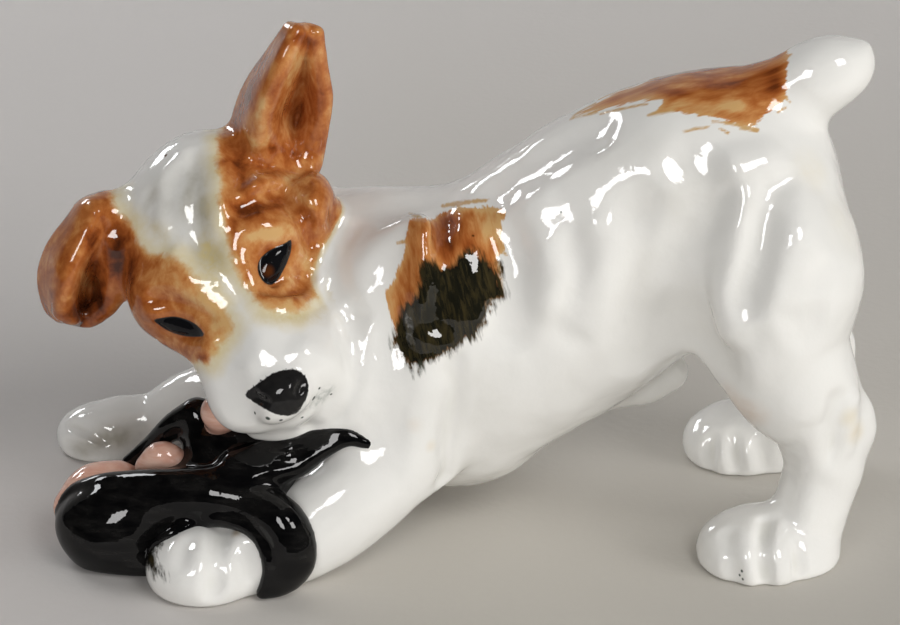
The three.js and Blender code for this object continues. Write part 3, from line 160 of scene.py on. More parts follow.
    ["slipper_upper", "add", "limb", 1.2, "rolled edge of the opening", [[-57.87,-15.4,6.52,0.8],[-56.98,-14.9,7.91,1.1],[-55.17,-14.8,9.5,1.3],[-51.92,-16.4,11.32,1.3],[-47.42,-17.6,12.59,1.3],[-42.14,-20.2,13.94,1.3],[-37.01,-21.2,14.78,1.2],[-34.1,-21.3,15.8,0.8]], [24]],
    ["slipper_lining", "add", "limb", 0, "lining at the toe", [[-55.95,-14,6.28,3.2],[-53.26,-12,8.05,3.8],[-50.07,-11,8.85,3.2]], [24]],
    ["slipper_lining", "add", "limb", 1, "lining pushed up behind the near side", [[-45.28,-13,12.35,1.8],[-43.33,-13,13.99,2.3],[-41.59,-13,13.5,2.2],[-39.8,-12,11.51,1.6]], [10]],
    ["slipper_lining", "add", "ball", 1, "lining at the mouth", [-33.98,-15,22.48,2.9,3,2.4], []],
    ["slipper_lining", "add", "limb", 2, "lining inside the slipper", [[-53.17,-12,6.39,4],[-42.68,-10,7.5,3.4],[-35.48,-10,12.79,3],[-34.37,-12,18.22,2.6],[-34.02,-14.5,21.74,2.4]], [24]],
    ["dog", "sub", "limb", 3, "hollow behind the last rib", [[25.49,-21.3,54.5,7],[26.52,-22.81,48.87,7],[26.97,-22.69,40.56,7],[30.03,-19.83,31.05,7]], [20]],
    ["dog", "sub", "limb", 3.5, "hollow in front of the left thigh", [[33.72,-20.56,54.26,5],[32.11,-21.12,48.02,5],[31.31,-20.4,41.23,5],[32.3,-18.33,34.35,5],[34.49,-20.87,31.77,5]], [25]],
    ["dog", "sub", "limb", 2.5, "line between the thigh muscles", [[45.38,-18.02,59.47,4],[43.73,-21.4,55.48,4],[42.29,-24.23,50.28,4],[39.83,-25.21,45.43,4]], [20]],
    ["dog", "sub", "limb", 2.5, "back of the thigh", [[50.43,-24.53,49.11,4],[48.96,-26.51,44.56,4],[50.29,-26.53,39.2,4]], [15]],
    ["dog", "sub", "limb", 1.5, "hollow in front of the tendon", [[55.2,-22.09,26.97,2],[54.28,-22.14,22.13,2],[55,-20.98,17.25,2]], [15]],
    ["dog", "add", "limb", 1.5, "shin of the hind pastern", [[50.72,-19.63,21.57,2.2],[51.84,-18.01,13.43,2.2],[50.82,-19.2,7.88,2.2]], [15]],
    ["dog", "sub", "limb", 3, "hollow between neck and shoulder", [[-10.7,-17.41,51.43,6],[-11.22,-21.39,44.43,6],[-9.73,-23.85,37.84,6]], [15]],
    ["dog", "sub", "limb", 3, "hollow behind the elbow", [[1.21,-25.26,27.91,6],[0.84,-25.01,22.16,6],[2.26,-23.74,14.22,6]], [15]],
    ["dog", "sub", "limb", 3, "line beside the spine", [[4.26,-7.91,56.27,4],[10.78,-7.42,60.85,4],[17.48,-7.09,64.8,4]], [15]],
    ["dog", "sub", "limb", 1.4, "crease between cheek and neck", [[-16.48,-7.02,48.69,2.2],[-18.05,-10.1,45.71,2.2],[-17.52,-14.39,42.06,2.2],[-14.38,-18.18,39.14,2.2]], [20]],
    ["dog", "add", "limb", 1.8, "fold of skin in front of the shoulder", [[-4.15,-12.43,48.48,2.4],[-3.91,-15.59,42.95,2.4],[-4.5,-17.01,35.95,2.4]], [15]],
    ["dog", "sub", "limb", 1.6, "groove beside that fold", [[-2.2,-7.25,51.47,1.9],[-1.68,-17.24,47.24,1.9],[-2.55,-20.07,38.72,1.9]], [15]],
    ["dog", "add", "limb", 2.2, "second fold of the shoulder", [[2.32,-6.61,48.46,2.6],[2.42,-12.57,44.53,2.6],[1.7,-15.76,38.07,2.6]], [15]],
    ["dog", "sub", "limb", 2.6, "groove behind the shoulder", [[7.28,-15.66,50.34,3.4],[8.26,-18.77,44.45,3.4],[7.53,-20.71,37.24,3.4]], [15]],
    ["dog", "add", "limb", 2.8, "swelling of the ribs", [[12.8,-9.73,50.49,3.4],[14.44,-12.91,46,3.4],[14.43,-14.24,40.74,3.4]], [15]],
    ["dog", "sub", "limb", 2.6, "groove between the ribs", [[16.85,-18.62,49.53,3],[18.22,-20.11,44.91,3],[16.81,-20.61,36.59,3]], [15]],
    ["dog", "add", "limb", 2.6, "second swelling of the ribs", [[20.7,-12.87,49.58,3.2],[20.57,-13.9,44.48,3.2],[17.97,-14.08,38.13,3.2]], [15]],
    ["dog", "sub", "limb", 1.5, "crease behind the upper arm", [[-0.44,-20.68,32.54,1.8],[-0.64,-20.33,26.28,1.8],[-1.27,-20.11,19.84,1.8],[-1.24,-19.4,13.49,1.8]], [20]],
    ["dog", "add", "limb", 2.0, "upper arm beside the crease", [[-4.37,-18.27,28,2.6],[-5.33,-18.53,21.95,2.6],[-5.32,-18.55,16.5,2.6]], [15]],
    ["dog", "add", "limb", 2.4, "hip bone", [[39.36,-12.16,58.62,3],[43,-10.93,59.1,3]], [10]],
    ["dog", "add", "limb", 2.2, "front edge of the thigh", [[40.33,-14.67,55.24,2.4],[39.72,-16.6,50.17,2.4],[38.93,-17.99,44.21,2.4],[39.94,-20.01,38.55,2.4]], [20]],
    ["dog", "sub", "limb", 2.0, "groove along the thigh", [[43.95,-19.16,54.57,2.2],[42,-22.05,49.1,2.2],[39.63,-23.72,43.24,2.2]], [15]],
    ["dog", "add", "limb", 2.6, "outer thigh muscle", [[47,-14.09,53.44,3.2],[47.68,-17.53,50.01,3.2],[47.15,-19.34,44.16,3.2]], [15]],
    ["dog", "sub", "limb", 3.0, "hollow of the croup", [[32.24,-16.19,62.35,4],[35.14,-18.58,57.94,4]], [10]],
    ["dog", "add", "limb", 1.2, "tendon of the heel", [[55.96,-17.85,25.85,1.5],[55.64,-18.16,19.99,1.5],[53.88,-18.7,14.9,1.5]], [15]],
    ["dog", "add", "limb", 0.7, "left eyeball", [[-27.62,-11.64,42.41,3.3],[-26.41,-9.68,45.13,3.3]], [10]],
    ["dog", "sub", "limb", 0.4, "left upper eyelid line", [[-23.66,-11.13,47.71,0.7],[-25.87,-12.47,47.52,0.7],[-27.49,-13.31,46.46,0.7],[-28.23,-14.31,44.93,0.7],[-27.61,-15.29,43.32,0.7],[-26.56,-15.22,42.7,0.7]], [30]],
    ["dog", "sub", "limb", 0.4, "left lower eyelid line", [[-26.62,-15.03,42.51,0.7],[-25.05,-14.05,43.2,0.7],[-24.05,-12.78,44.6,0.7],[-23.35,-11.53,46.11,0.7],[-23.58,-10.76,47.37,0.7]], [25]],
    ["dog", "add", "limb", 0.7, "right eyeball", [[-40.92,-12.33,36.39,2.6],[-36.87,-14.06,35.66,2.6]], [10]],
    ["dog", "sub", "limb", 0.4, "right upper eyelid line", [[-43.21,-14.28,36.71,0.7],[-40.45,-15.09,37.67,0.7],[-38.15,-16.21,37.26,0.7],[-36.33,-18.09,36.29,0.7]], [20]],
    ["dog", "sub", "limb", 0.4, "right lower eyelid line", [[-42.76,-14.36,35.81,0.6],[-41,-14.78,34.43,0.6],[-38.38,-16.4,34.83,0.6],[-36.42,-18.07,35.72,0.6]], [20]],
    ["dog", "add", "limb", 1.0, "left brow fold", [[-33.54,-8.58,52.06,1.7],[-31.09,-7.59,52.89,1.7],[-28.25,-5.44,53.51,1.7],[-24.5,-0.33,53.39,1.7],[-21.37,2.17,54.31,1.7]], [25]],
    ["dog", "sub", "limb", 1.0, "recess under the brow fold", [[-31.1,-10.41,52.68,1.6],[-27.57,-8.63,53.59,1.6],[-24.2,-6.06,53.23,1.6],[-22.45,-6.41,54.14,1.6]], [20]],
    ["dog", "add", "limb", 1.0, "fold behind the left eye", [[-21.95,-4.18,51.92,1.6],[-20.52,-7.06,50.86,1.6],[-20.11,-5.96,46.34,1.6],[-19.95,-8.24,42.7,1.6]], [20]],
    ["dog", "sub", "limb", 1.0, "recess beside it", [[-23.68,-7.28,52.19,1.3],[-21.68,-9.42,49.54,1.3],[-20.56,-9.13,46.1,1.3]], [15]],
    ["dog", "sub", "limb", 1.2, "hollow below the ear root", [[-32.79,-1.51,59.05,2.2],[-31.03,-5.04,57.24,2.2],[-32.16,-9.32,55.46,2.2]], [15]],
    ["dog", "sub", "limb", 1.0, "second hollow below the ear root", [[-27.81,-3.01,56.88,1.6],[-24.4,-2.05,55.96,1.6],[-22.34,-1.08,55.5,1.6]], [15]],
    ["dog", "sub", "limb", 2, "forehead furrow", [[-36.83,-3.75,58.74,3],[-37.67,-8.51,55.52,3],[-38.09,-11.53,51.41,3],[-37.01,-14.56,46.97,3]], [20]],
    ["dog", "sub", "limb", 1.5, "second forehead furrow", [[-40.7,-5.57,56.43,2.6],[-42.1,-8.71,52.76,2.6],[-41.01,-11.12,50.04,2.6]], [15]],
    ["dog", "add", "limb", 1.5, "forehead ridge", [[-35.2,1.47,56.25,2.4],[-34.18,-4.74,53.28,2.4],[-33.6,-9.23,49.16,2.4]], [15]],
    ["dog", "sub", "limb", 1.5, "third forehead furrow", [[-45.43,-6.05,52.6,2.4],[-46.02,-8.4,49.34,2.4],[-43.51,-11.56,47.47,2.4]], [15]],
    ["dog", "add", "limb", 1.2, "orbit, upper half", [[-31.52,-12.18,45.79,2.1],[-30.78,-10.87,48.03,2.1],[-28.08,-10.03,49.06,2.1],[-25.13,-9.04,48.46,2.1]], [20]],
    ["dog", "add", "limb", 1.2, "orbit, lower half", [[-31,-13.09,44.69,2.1],[-29.25,-14.79,41.51,2.1],[-26.78,-16.64,40.03,2.1],[-24.05,-16.24,39.31,2.1],[-21.43,-12.59,38.92,2.1],[-19.68,-9.71,40.75,2.1]], [30]],
    ["dog", "sub", "limb", 0.6, "line below the left eye", [[-27.66,-16.86,42.9,0.9],[-25.06,-16.32,42.28,0.9],[-22.33,-13.77,41.59,0.9],[-20.99,-11.57,42.46,0.9]], [20]],
    ["dog", "add", "limb", 2.5, "right brow fold", [[-42.29,-9.79,38.99,4],[-38.32,-10.91,41.22,4],[-34.67,-12.87,39.2,4]], [15]],
    ["dog", "sub", "limb", 1.2, "recess under the right brow", [[-43.71,-15.27,39.98,2],[-40.17,-16.3,39.19,2],[-36.63,-18.77,38.2,2]], [15]],
    ["dog", "add", "limb", 1.2, "fold under the right eye", [[-40.75,-10.49,32.6,2],[-36.06,-16.52,32.93,2],[-34.01,-18.7,34.66,2]], [15]],
    ["dog", "add", "limb", 0.8, "rim of the upright ear", [[-22.83,-0.69,75.33,1],[-24.6,-2.57,72.06,1],[-26.2,-3.14,68.17,1],[-27.6,-2.79,63.94,1],[-28.01,-1.99,60.12,1]], [25]],
    ["dog", "add", "limb", 0.8, "foot of the ear rim", [[-28.51,-1.62,59.59,1.3],[-27.76,-0.37,56.62,1.3],[-25.36,0.36,54.91,1.3]], [15]],
    ["dog", "add", "limb", 0.8, "rim of the folded ear", [[-51.96,-3.54,48.77,1],[-53.86,-5.75,45.39,1],[-55.83,-7.77,41.37,1],[-57,-7.96,37.2,1],[-57.67,-6.24,33.94,1]], [25]],
    ["dog", "add", "limb", 0.8, "inner fold of the folded ear", [[-50.07,-3.87,44.69,1],[-49.84,-4.55,39.65,1],[-50.67,-4.24,35.07,1]], [15]],
    ["dog", "sub", "limb", 1.5, "crease beside the lips", [[-15.24,-17.29,38.47,1.8],[-14.45,-21.15,33.98,1.8],[-15.59,-22.7,29.09,1.8],[-17.84,-22.62,25.08,1.8],[-20.44,-22.33,22.65,1.8]], [25]],
    ["dog", "add", "limb", 0.9, "right upper eyelid", [[-43.73,-13.06,37.44,1.2],[-40.71,-13.26,38.07,1.2],[-37.5,-14.84,38.04,1.2],[-34.7,-17.82,36.43,1.2]], [20]],
    ["dog", "add", "limb", 1.5, "lip fold", [[-21.86,-21.99,34.67,2.4],[-19.38,-21.22,32.98,2.4],[-17.64,-19.19,28.68,2.4],[-19.85,-19.12,25.8,2.4]], [20]],
    ["dog", "sub", "limb", 2, "hollow beside the muzzle", [[-33.36,-23.77,38.68,4],[-34.76,-25.52,33.97,4],[-32.32,-28.52,28.85,4]], [15]],
    ["dog", "sub", "limb", 0.5, "right nostril", [[-28.67,-26.58,30.22,0.8],[-27.06,-28.66,30.62,0.8]], [10]],
    ["dog", "sub", "limb", 0.5, "left nostril", [[-22.26,-28.09,31.94,0.8],[-21.68,-27.05,32.8,0.8]], [10]],
    ["dog", "sub", "limb", 1.2, "between the toes, left forepaw", [[-33.89,-26.16,9.72,1.6],[-34.01,-32.16,7.67,1.6],[-34.58,-34.68,3.1,1.6]], [15]],
    ["dog", "sub", "limb", 1.2, "between the outer toes, left forepaw", [[-38.95,-29.74,9.3,1.4],[-39.49,-32.58,7.69,1.4]], [10]],
    ["dog", "sub", "limb", 1.2, "between the inner toes, left forepaw", [[-30.17,-30.72,8.11,1.4],[-29.75,-32.24,5.19,1.4]], [10]],
    ["dog", "sub", "limb", 1.2, "first toe groove, left hind paw", [[38.81,-22.62,6.74,1.4],[38.92,-25.88,4.76,1.4],[39.53,-27.2,1.1,1.4]], [15]],
    ["dog", "sub", "limb", 1.0, "second toe groove, left hind paw", [[44.65,-20.88,7.84,1.3],[43.93,-25.97,5.43,1.3],[44.55,-27.91,0.76,1.3]], [15]],
    ["dog", "sub", "limb", 1.0, "third toe groove, left hind paw", [[49.22,-24.82,5.58,1.1],[49.59,-26.67,0.98,1.1]], [10]],
    ["dog", "sub", "limb", 1.0, "first toe groove, right hind paw", [[38.45,10.07,5.47,1.3],[38.06,8.3,1.18,1.3]], [10]],
    ["dog", "sub", "limb", 1.0, "second toe groove, right hind paw", [[41.88,9.5,6.52,1.3],[42.49,6.56,1.36,1.3]], [10]],
    ["dog", "sub", "limb", 1.0, "third toe groove, right hind paw", [[45.98,8.06,5.53,1.3],[46.96,7.06,1.76,1.3]], [10]],
    ["dog", "sub", "limb", 0.8, "first toe groove, right forepaw", [[-58.8,14.83,5.57,1],[-56.08,12.84,5.25,1],[-53.8,11.91,4.17,1]], [15]],
    ["dog", "sub", "limb", 0.8, "second toe groove, right forepaw", [[-59.46,13.01,2.68,1],[-57.04,11.62,2.44,1],[-54.78,11.36,1.42,1]], [15]],
]


# ---- distance fields ----
def smin(a, b, k):
    if k <= 0:
        return np.minimum(a, b)
    h = np.maximum(k - np.abs(a - b), 0) / k
    return np.minimum(a, b) - h * h * k * 0.25


def smax(a, b, k):
    return -smin(-a, -b, k)


def stations(pts, n):
    """n stations along a Catmull-Rom curve through the points"""
    pts = np.asarray(pts, float)
    m = len(pts)
    if m == 2:
        t = np.linspace(0, 1, n)[:, None]
        return pts[0] * (1 - t) + pts[1] * t
    e = np.vstack([2 * pts[0] - pts[1], pts, 2 * pts[-1] - pts[-2]])
    t = np.linspace(0, m - 1, n)
    i = np.minimum(t.astype(int), m - 2)
    f = (t - i)[:, None]
    p0, p1, p2, p3 = e[i], e[i + 1], e[i + 2], e[i + 3]
    return 0.5 * ((2 * p1) + (-p0 + p2) * f + (2 * p0 - 5 * p1 + 4 * p2 - p3) * f * f + (-p0 + 3 * p1 - 3 * p2 + p3) * f**3)


def cone(p, a, b):
    """distance to a round cone with end radii a[3] and b[3]"""
    a, b = np.asarray(a, f32), np.asarray(b, f32)
    ba = b[:3] - a[:3]
    l2 = float(ba @ ba)
    rr = float(a[3] - b[3])
    a2 = l2 - rr * rr
    pa = p - a[:3]
    y = pa @ ba
    z = y - l2
    x2 = np.maximum((pa * pa).sum(1) * l2 - y * y, 0) * l2
    y2, z2 = y * y * l2, z * z * l2
    k = math.copysign(1, rr) * rr * rr * x2 if rr else 0 * x2
    out = (np.sqrt(x2 * (a2 / l2)) / l2 * math.sqrt(l2) * (1 / math.sqrt(l2)) + y * rr / l2) - a[3]
    m1 = np.sign(z) * a2 * z2 > k
    m2 = (~m1) & (np.sign(y) * a2 * y2 < k)
    out = np.where(m1, np.sqrt(x2 + z2) / l2 - b[3], out)
    return np.where(m2, np.sqrt(x2 + y2) / l2 - a[3], out)


class Form:
    def __init__(s, piece, op, kind, k, what, data, extra):
        s.piece, s.op, s.kind, s.k = piece, op, kind, k
        s.squash = extra[1] if kind == "barrel" else 1.0
        if kind == "ball":
            s.c, s.r = np.array(data[:3], f32), np.array(data[3:], f32)
            s.m = np.array(extra if len(extra) else np.eye(3), f32)
            e = np.sqrt(((s.m * s.r[:, None]) ** 2).sum(0))
            s.lo, s.hi = s.c - e, s.c + e
            return
        if kind == "sheet":
            a = np.array([stations(r, extra[0]) for r in data])
            pts = np.array([stations(a[:, j], extra[1]) for j in range(extra[0])]).reshape(-1, 4)
        else:
            pts = stations(data, extra[0])
        s.lo, s.hi = (pts[:, :3] - pts[:, 3:]).min(0), (pts[:, :3] + pts[:, 3:]).max(0)
        s.pts = pts.astype(f32)

    def dist(s, p):
        if s.kind == "ball":
            q = (p - s.c) @ s.m.T / s.r
            k0 = np.sqrt((q * q).sum(1))
            q = q / s.r
            k1 = np.sqrt((q * q).sum(1))
            return k0 * (k0 - 1) / np.maximum(k1, 1e-6)
        if s.kind == "sheet":
            out, p2 = np.full(len(p), 1e3, f32), (p * p).sum(1)
            for i in range(0, len(s.pts), 16):
                c = s.pts[i : i + 16]
                d = np.sqrt(np.maximum(p2[:, None] - 2 * p @ c[:, :3].T + (c[:, :3] ** 2).sum(1)[None], 0)) - c[:, 3][None]
                out = np.minimum(out, d.min(1))
            return out
        q = p * np.array([1, 1 / s.squash, 1], f32)
        t = s.pts * np.array([1, 1 / s.squash, 1, 1], f32)
        out = np.full(len(p), 1e3, f32)
        for a, b in zip(t[:-1], t[1:]):
            if np.linalg.norm(b[:3] - a[:3]) > abs(a[3] - b[3]) + 1e-4:
                out = np.minimum(out, cone(q, a, b))
        return out * (0.5 + 0.5 * s.squash)


FORMS = [Form(*r) for r in FORMS]


def work(d, p, form):
    """one form on the distances d of the points p, which are sorted by x"""
    m = 3 + form.k
    i, j = np.searchsorted(p[:, 0], [form.lo[0] - m, form.hi[0] + m])
    q = p[i:j]
    near = np.flatnonzero((q[:, 1] > form.lo[1] - m) & (q[:, 1] < form.hi[1] + m) & (q[:, 2] > form.lo[2] - m) & (q[:, 2] < form.hi[2] + m))
    if not len(near):
        return
    e = form.dist(q[near])
    near += i
    d[near] = smin(d[near], e, form.k) if form.op == "add" else smax(d[near], -e, form.k)


def piece_field(name, p):
    d = np.full(len(p), 8, f32)
    for form in FORMS:
        if form.piece == name:
            work(d, p, form)
    return d


def field(name, p):
    """distance of the points to the blended dog, or to one of the slipper's pieces"""
    if name != "dog":
        return piece_field(name, p)
    d = None
    for part, k in BLEND:
        e = piece_field(part, p)
        d = e if d is None else smin(d, e, k)
    for form in FORMS:
        if form.piece == "dog":
            work(d, p, form)
    return d


def grid(n, lo, h, cells=None):
    if cells is None:
        cells = np.argwhere(np.ones(n, bool))
    return (cells * h + lo).astype(f32), cells


class Block:
    """dense distances, worked out only near the surface"""

    def __init__(s, name):
        s.lo, s.h = LO, FINE
        nc = np.ceil((HI - LO) / COARSE).astype(int) + 1
        pts, cells = grid(tuple(nc), LO + COARSE / 2, COARSE)
        dc = field(name, pts).reshape(tuple(nc))
        near = np.abs(dc) < COARSE * 1.25 + 0.6
        r = 4
        big = np.repeat(np.repeat(np.repeat(near, r, 0), r, 1), r, 2)
        s.d = np.where(np.repeat(np.repeat(np.repeat(dc, r, 0), r, 1), r, 2) < 0, -3, 3).astype(f32)
        cells = np.argwhere(big)
        s.d[tuple(cells.T)] = field(name, (cells * FINE + LO).astype(f32))
        s.z = (LO[2] + FINE * np.arange(s.d.shape[2])).astype(f32)

    def at(s, p):
        q = (p - s.lo) / s.h
        i = np.clip(np.floor(q).astype(int), 0, np.array(s.d.shape) - 2)
        f = q - i
        out = 0
        for a in (0, 1):
            for b in (0, 1):
                for c in (0, 1):
                    w = (f[:, 0] if a else 1 - f[:, 0]) * (f[:, 1] if b else 1 - f[:, 1]) * (f[:, 2] if c else 1 - f[:, 2])
                    out = out + w * s.d[i[:, 0] + a, i[:, 1] + b, i[:, 2] + c]
        return out

    def slope(s, p, e):
        return np.stack([s.at(p + np.eye(3)[a] * e) - s.at(p - np.eye(3)[a] * e) for a in range(3)], 1) / (2 * e)

    def surface(s, rounds=3):
        """one point in each crossed cell and one quad across each crossed edge, relaxed and pulled onto the surface"""
        d, lo, h = s.d, s.lo, s.h
        d[0], d[-1], d[:, 0], d[:, -1], d[:, :, 0], d[:, :, -1] = 3, 3, 3, 3, 3, 3
        inside = d < 0
        n = np.array(d.shape)
        count = np.zeros(n - 1, np.uint8)
        corners = [(i, j, k) for i in (0, 1) for j in (0, 1) for k in (0, 1)]
        for i, j, k in corners:
            count += inside[i : n[0] - 1 + i, j : n[1] - 1 + j, k : n[2] - 1 + k]
        crossed = (count > 0) & (count < 8)
        cells = np.argwhere(crossed)
        index = -np.ones(crossed.shape, np.int64)
        index[crossed] = np.arange(len(cells))
        ci, cj, ck = cells.T
        val = {c: d[ci + c[0], cj + c[1], ck + c[2]] for c in corners}
        acc, cnt = np.zeros((len(cells), 3)), np.zeros(len(cells))
        for a in corners:
            for ax in range(3):
                if a[ax] == 0:
                    b = tuple(1 if x == ax else a[x] for x in range(3))
                    m = (val[a] < 0) != (val[b] < 0)
                    p = np.tile(np.array(a, float), (m.sum(), 1))
                    p[:, ax] += val[a][m] / (val[a][m] - val[b][m])
                    acc[m] += p
                    cnt[m] += 1
        v = (cells + acc / cnt[:, None]) * h + lo
        quads = []
        for ax in range(3):
            o = [x for x in range(3) if x != ax]
            s0, s1 = [slice(None)] * 3, [slice(None)] * 3
            s0[ax], s1[ax] = slice(0, n[ax] - 1), slice(1, n[ax])
            for x in o:
                s0[x] = s1[x] = slice(1, n[x] - 1)
            a, b = inside[tuple(s0)], inside[tuple(s1)]
            base = np.argwhere(a != b)
            flip = a[tuple(base.T)]
            for x in o:
                base[:, x] += 1
            if ax == 1:
                flip = ~flip
            q = []
            for d1, d2 in ((1, 1), (0, 1), (0, 0), (1, 0)):
                c = base.copy()
                c[:, o[0]] -= d1
                c[:, o[1]] -= d2
                q.append(index[c[:, 0], c[:, 1], c[:, 2]])
            q = np.stack(q, 1)
            q[~flip] = q[~flip][:, ::-1]
            quads.append(q)
        q = np.vstack(quads)
        e = np.vstack([q[:, [0, 1]], q[:, [1, 2]], q[:, [2, 3]], q[:, [3, 0]]])
        cnt = np.bincount(e[:, 0], minlength=len(v))[:, None]
        for _ in range(rounds):
            acc = np.stack([np.bincount(e[:, 0], v[e[:, 1], x], len(v)) + np.bincount(e[:, 1], v[e[:, 0], x], len(v)) for x in range(3)], 1)
            v = 0.5 * v + 0.5 * acc / (cnt + np.bincount(e[:, 1], minlength=len(v))[:, None])
            g = s.slope(v, h * 0.5)
            v = v - g * (s.at(v) / np.maximum((g**2).sum(1), 0.05))[:, None].clip(-h, h)
        return v, q


RNG = np.random.RandomState(7)
PERM = RNG.permutation(256)
GRADS = RNG.normal(size=(256, 3))
GRADS /= np.linalg.norm(GRADS, axis=1)[:, None]


def lumps(p):
    """smooth seeded noise, about -0.7 to 0.7"""
    i = np.floor(p).astype(int)
    f = p - i
    u = f**3 * (f * (f * 6 - 15) + 10)
    out = 0
    for a in (0, 1):
        for b in (0, 1):
            for c in (0, 1):
                g = GRADS[PERM[(PERM[(PERM[(i[:, 0] + a) & 255] + i[:, 1] + b) & 255] + i[:, 2] + c) & 255]]
                w = (u[:, 0] if a else 1 - u[:, 0]) * (u[:, 1] if b else 1 - u[:, 1]) * (u[:, 2] if c else 1 - u[:, 2])
                out = out + w * (g * (f - np.array([a, b, c]))).sum(1)
    return out


def step(x, a, b):
    t = np.clip((x - a) / (b - a), 0, 1)
    return t * t * (3 - 2 * t)


def make_object(name, v, faces, mats=()):
    """mm, sculpting axes -> an object in metres in the row's axes"""
    me = bpy.data.meshes.new(name)
    v = (np.asarray(v, float) + SHIFT) * MM
    faces = np.asarray(faces)
    me.vertices.add(len(v))
    me.vertices.foreach_set("co", v.astype(f32).ravel())
    me.loops.add(faces.size)
    me.loops.foreach_set("vertex_index", faces.astype(np.int32).ravel())
    me.polygons.add(len(faces))
    me.polygons.foreach_set("loop_start", np.arange(0, faces.size, faces.shape[1], dtype=np.int32))
    me.update(calc_edges=True)
    me.validate()
    ob = bpy.data.objects.new(name, me)
    bpy.context.scene.collection.objects.link(ob)
    return ob


def read(me, what, key, n, dtype=f32):
    a = np.empty(len(what) * n, dtype)
    what.foreach_get(key, a)
    return a.reshape(-1, n) if n > 1 else a


# ---- the dog's surface ----
def flat_sole(d, block):
    """the soles are ground flat on z = 0"""
    block.d = smax(d, -(block.z[None, None, :] + 0 * d), 0.8).astype(f32)


dog = Block("dog")
DOG_D = dog.d.copy()
flat_sole(dog.d, dog)
v, q = dog.surface()
print("dog", len(v), round(time.time() - T0, 1))


def normals(v, q):
    a, b = v[q[:, 2]] - v[q[:, 0]], v[q[:, 3]] - v[q[:, 1]]
    fn = np.cross(a, b)
    n = np.stack([sum(np.bincount(q[:, c], fn[:, x], len(v)) for c in range(4)) for x in range(3)], 1)
    return n / np.maximum(np.linalg.norm(n, axis=1), 1e-12)[:, None]


vn = normals(v, q)
if ((v + vn) ** 2).sum() < ((v - vn) ** 2).sum():
    q, vn = q[:, ::-1].copy(), -vn
order = np.argsort(v[:, 0], kind="stable")
vs = v[order].astype(f32)


def unsorted(a):
    out = np.empty_like(a)
    out[order] = a
    return out


f_head = np.minimum(np.minimum(unsorted(piece_field("head", vs)), unsorted(piece_field("left_ear", vs))), unsorted(piece_field("right_ear", vs)))
f_body = unsorted(piece_field("torso", vs))
on_head = f_body - f_head  # above 0 on the head
# fine lumps of the modelled coat, weaker on the face, none on the soles
calm = step(v[:, 2], 0.3, 3.0)
face = step(on_head, -2, 2)
for at, reach in (((-24.9, -27.5, 30.5), 4.4), ((-26.0, -14.0, 45.0), 3.2), ((-38.8, -16.0, 36.4), 3.4)):  # nose and eyes are smooth
    calm = calm * (1 - 0.85 * np.exp(-(((v - at) / reach) ** 2).sum(1)))
bump = 0.75 * lumps(v / 7.0 + 3.1) + 0.26 * lumps(v / 3.6 + 11.7) + 0.09 * lumps(v / 1.9 + 5.3)
v = v + vn * (bump * calm * (RELIEF * (2.2 - 1.1 * face)))[:, None]
vn = normals(v, q)
v[:, 2] = np.maximum(v[:, 2], 0)
whole = make_object("whole_dog", v, q)
print("relief", round(time.time() - T0, 1))


def box_object(name, seam, grow=0.0):
    x = Vector(seam["x"]).normalized()
    y = Vector(seam["y"])
    y = (y - x * y.dot(x)).normalized()
    m = Matrix.Identity(4)
    for i, (a, s) in enumerate(zip((x, y, x.cross(y)), seam["size"])):
        for r in range(3):
            m[r][i] = a[r] * (s + 2 * grow) * MM
    for r in range(3):
        m[r][3] = (seam["at"][r] + SHIFT[r]) * MM
    me = bpy.data.meshes.new(name)
    bm = bmesh.new()
    bmesh.ops.create_cube(bm, size=1.0, matrix=m)
    bm.to_mesh(me)
    bm.free()
    ob = bpy.data.objects.new(name, me)
    bpy.context.scene.collection.objects.link(ob)
    return ob


BOXES = {n: box_object("seam_" + n, s) for n, s in SEAMS.items()}


def cut(name, source, steps):
    """source with boolean steps [(operation, box name)] applied, only its largest shell kept"""
    ob = bpy.data.objects.new(name, source.data.copy())
    bpy.context.scene.collection.objects.link(ob)
    for op, b in steps:
        m = ob.modifiers.new(b, "BOOLEAN")
        m.operation, m.object, m.solver = op, BOXES[b], "MANIFOLD"
        dg = bpy.context.evaluated_depsgraph_get()
        me = bpy.data.meshes.new_from_object(ob.evaluated_get(dg))
        ob.modifiers.clear()
        old, ob.data = ob.data, me
        bpy.data.meshes.remove(old)
    bm = bmesh.new()
    bm.from_mesh(ob.data)
    bm.verts.ensure_lookup_table()
    seen, best = set(), []
    for start in bm.verts:
        if start.index in seen:
            continue
        shell, stack = [], [start]
        seen.add(start.index)
        while stack:
            a = stack.pop()
            shell.append(a)
            for e in a.link_edges:
                b = e.other_vert(a)
                if b.index not in seen:
                    seen.add(b.index)
                    stack.append(b)
        if len(shell) > len(best):
            best = shell
    keep = {a.index for a in best}
    bmesh.ops.delete(bm, geom=[a for a in bm.verts if a.index not in keep], context="VERTS")
    bm.to_mesh(ob.data)
    bm.free()
    return ob


HEAD_CUTS = [("DIFFERENCE", n) for n in ("left_ear", "right_ear", "left_foreleg", "right_foreleg")]
PIECES = {
    "torso": [("DIFFERENCE", n) for n in ("tail", "left_hind_leg", "right_hind_leg", "left_foreleg", "right_foreleg", "head")],
    "head": [("INTERSECT", "head")] + HEAD_CUTS,
    **{n: [("INTERSECT", n)] for n in ("left_ear", "right_ear", "left_foreleg", "right_foreleg", "left_hind_leg", "right_hind_leg", "tail")},
}
dog_objects = {n: cut("china_" + n, whole, s) for n, s in PIECES.items()}
print("cut", {n: len(o.data.polygons) for n, o in dog_objects.items()}, round(time.time() - T0, 1))

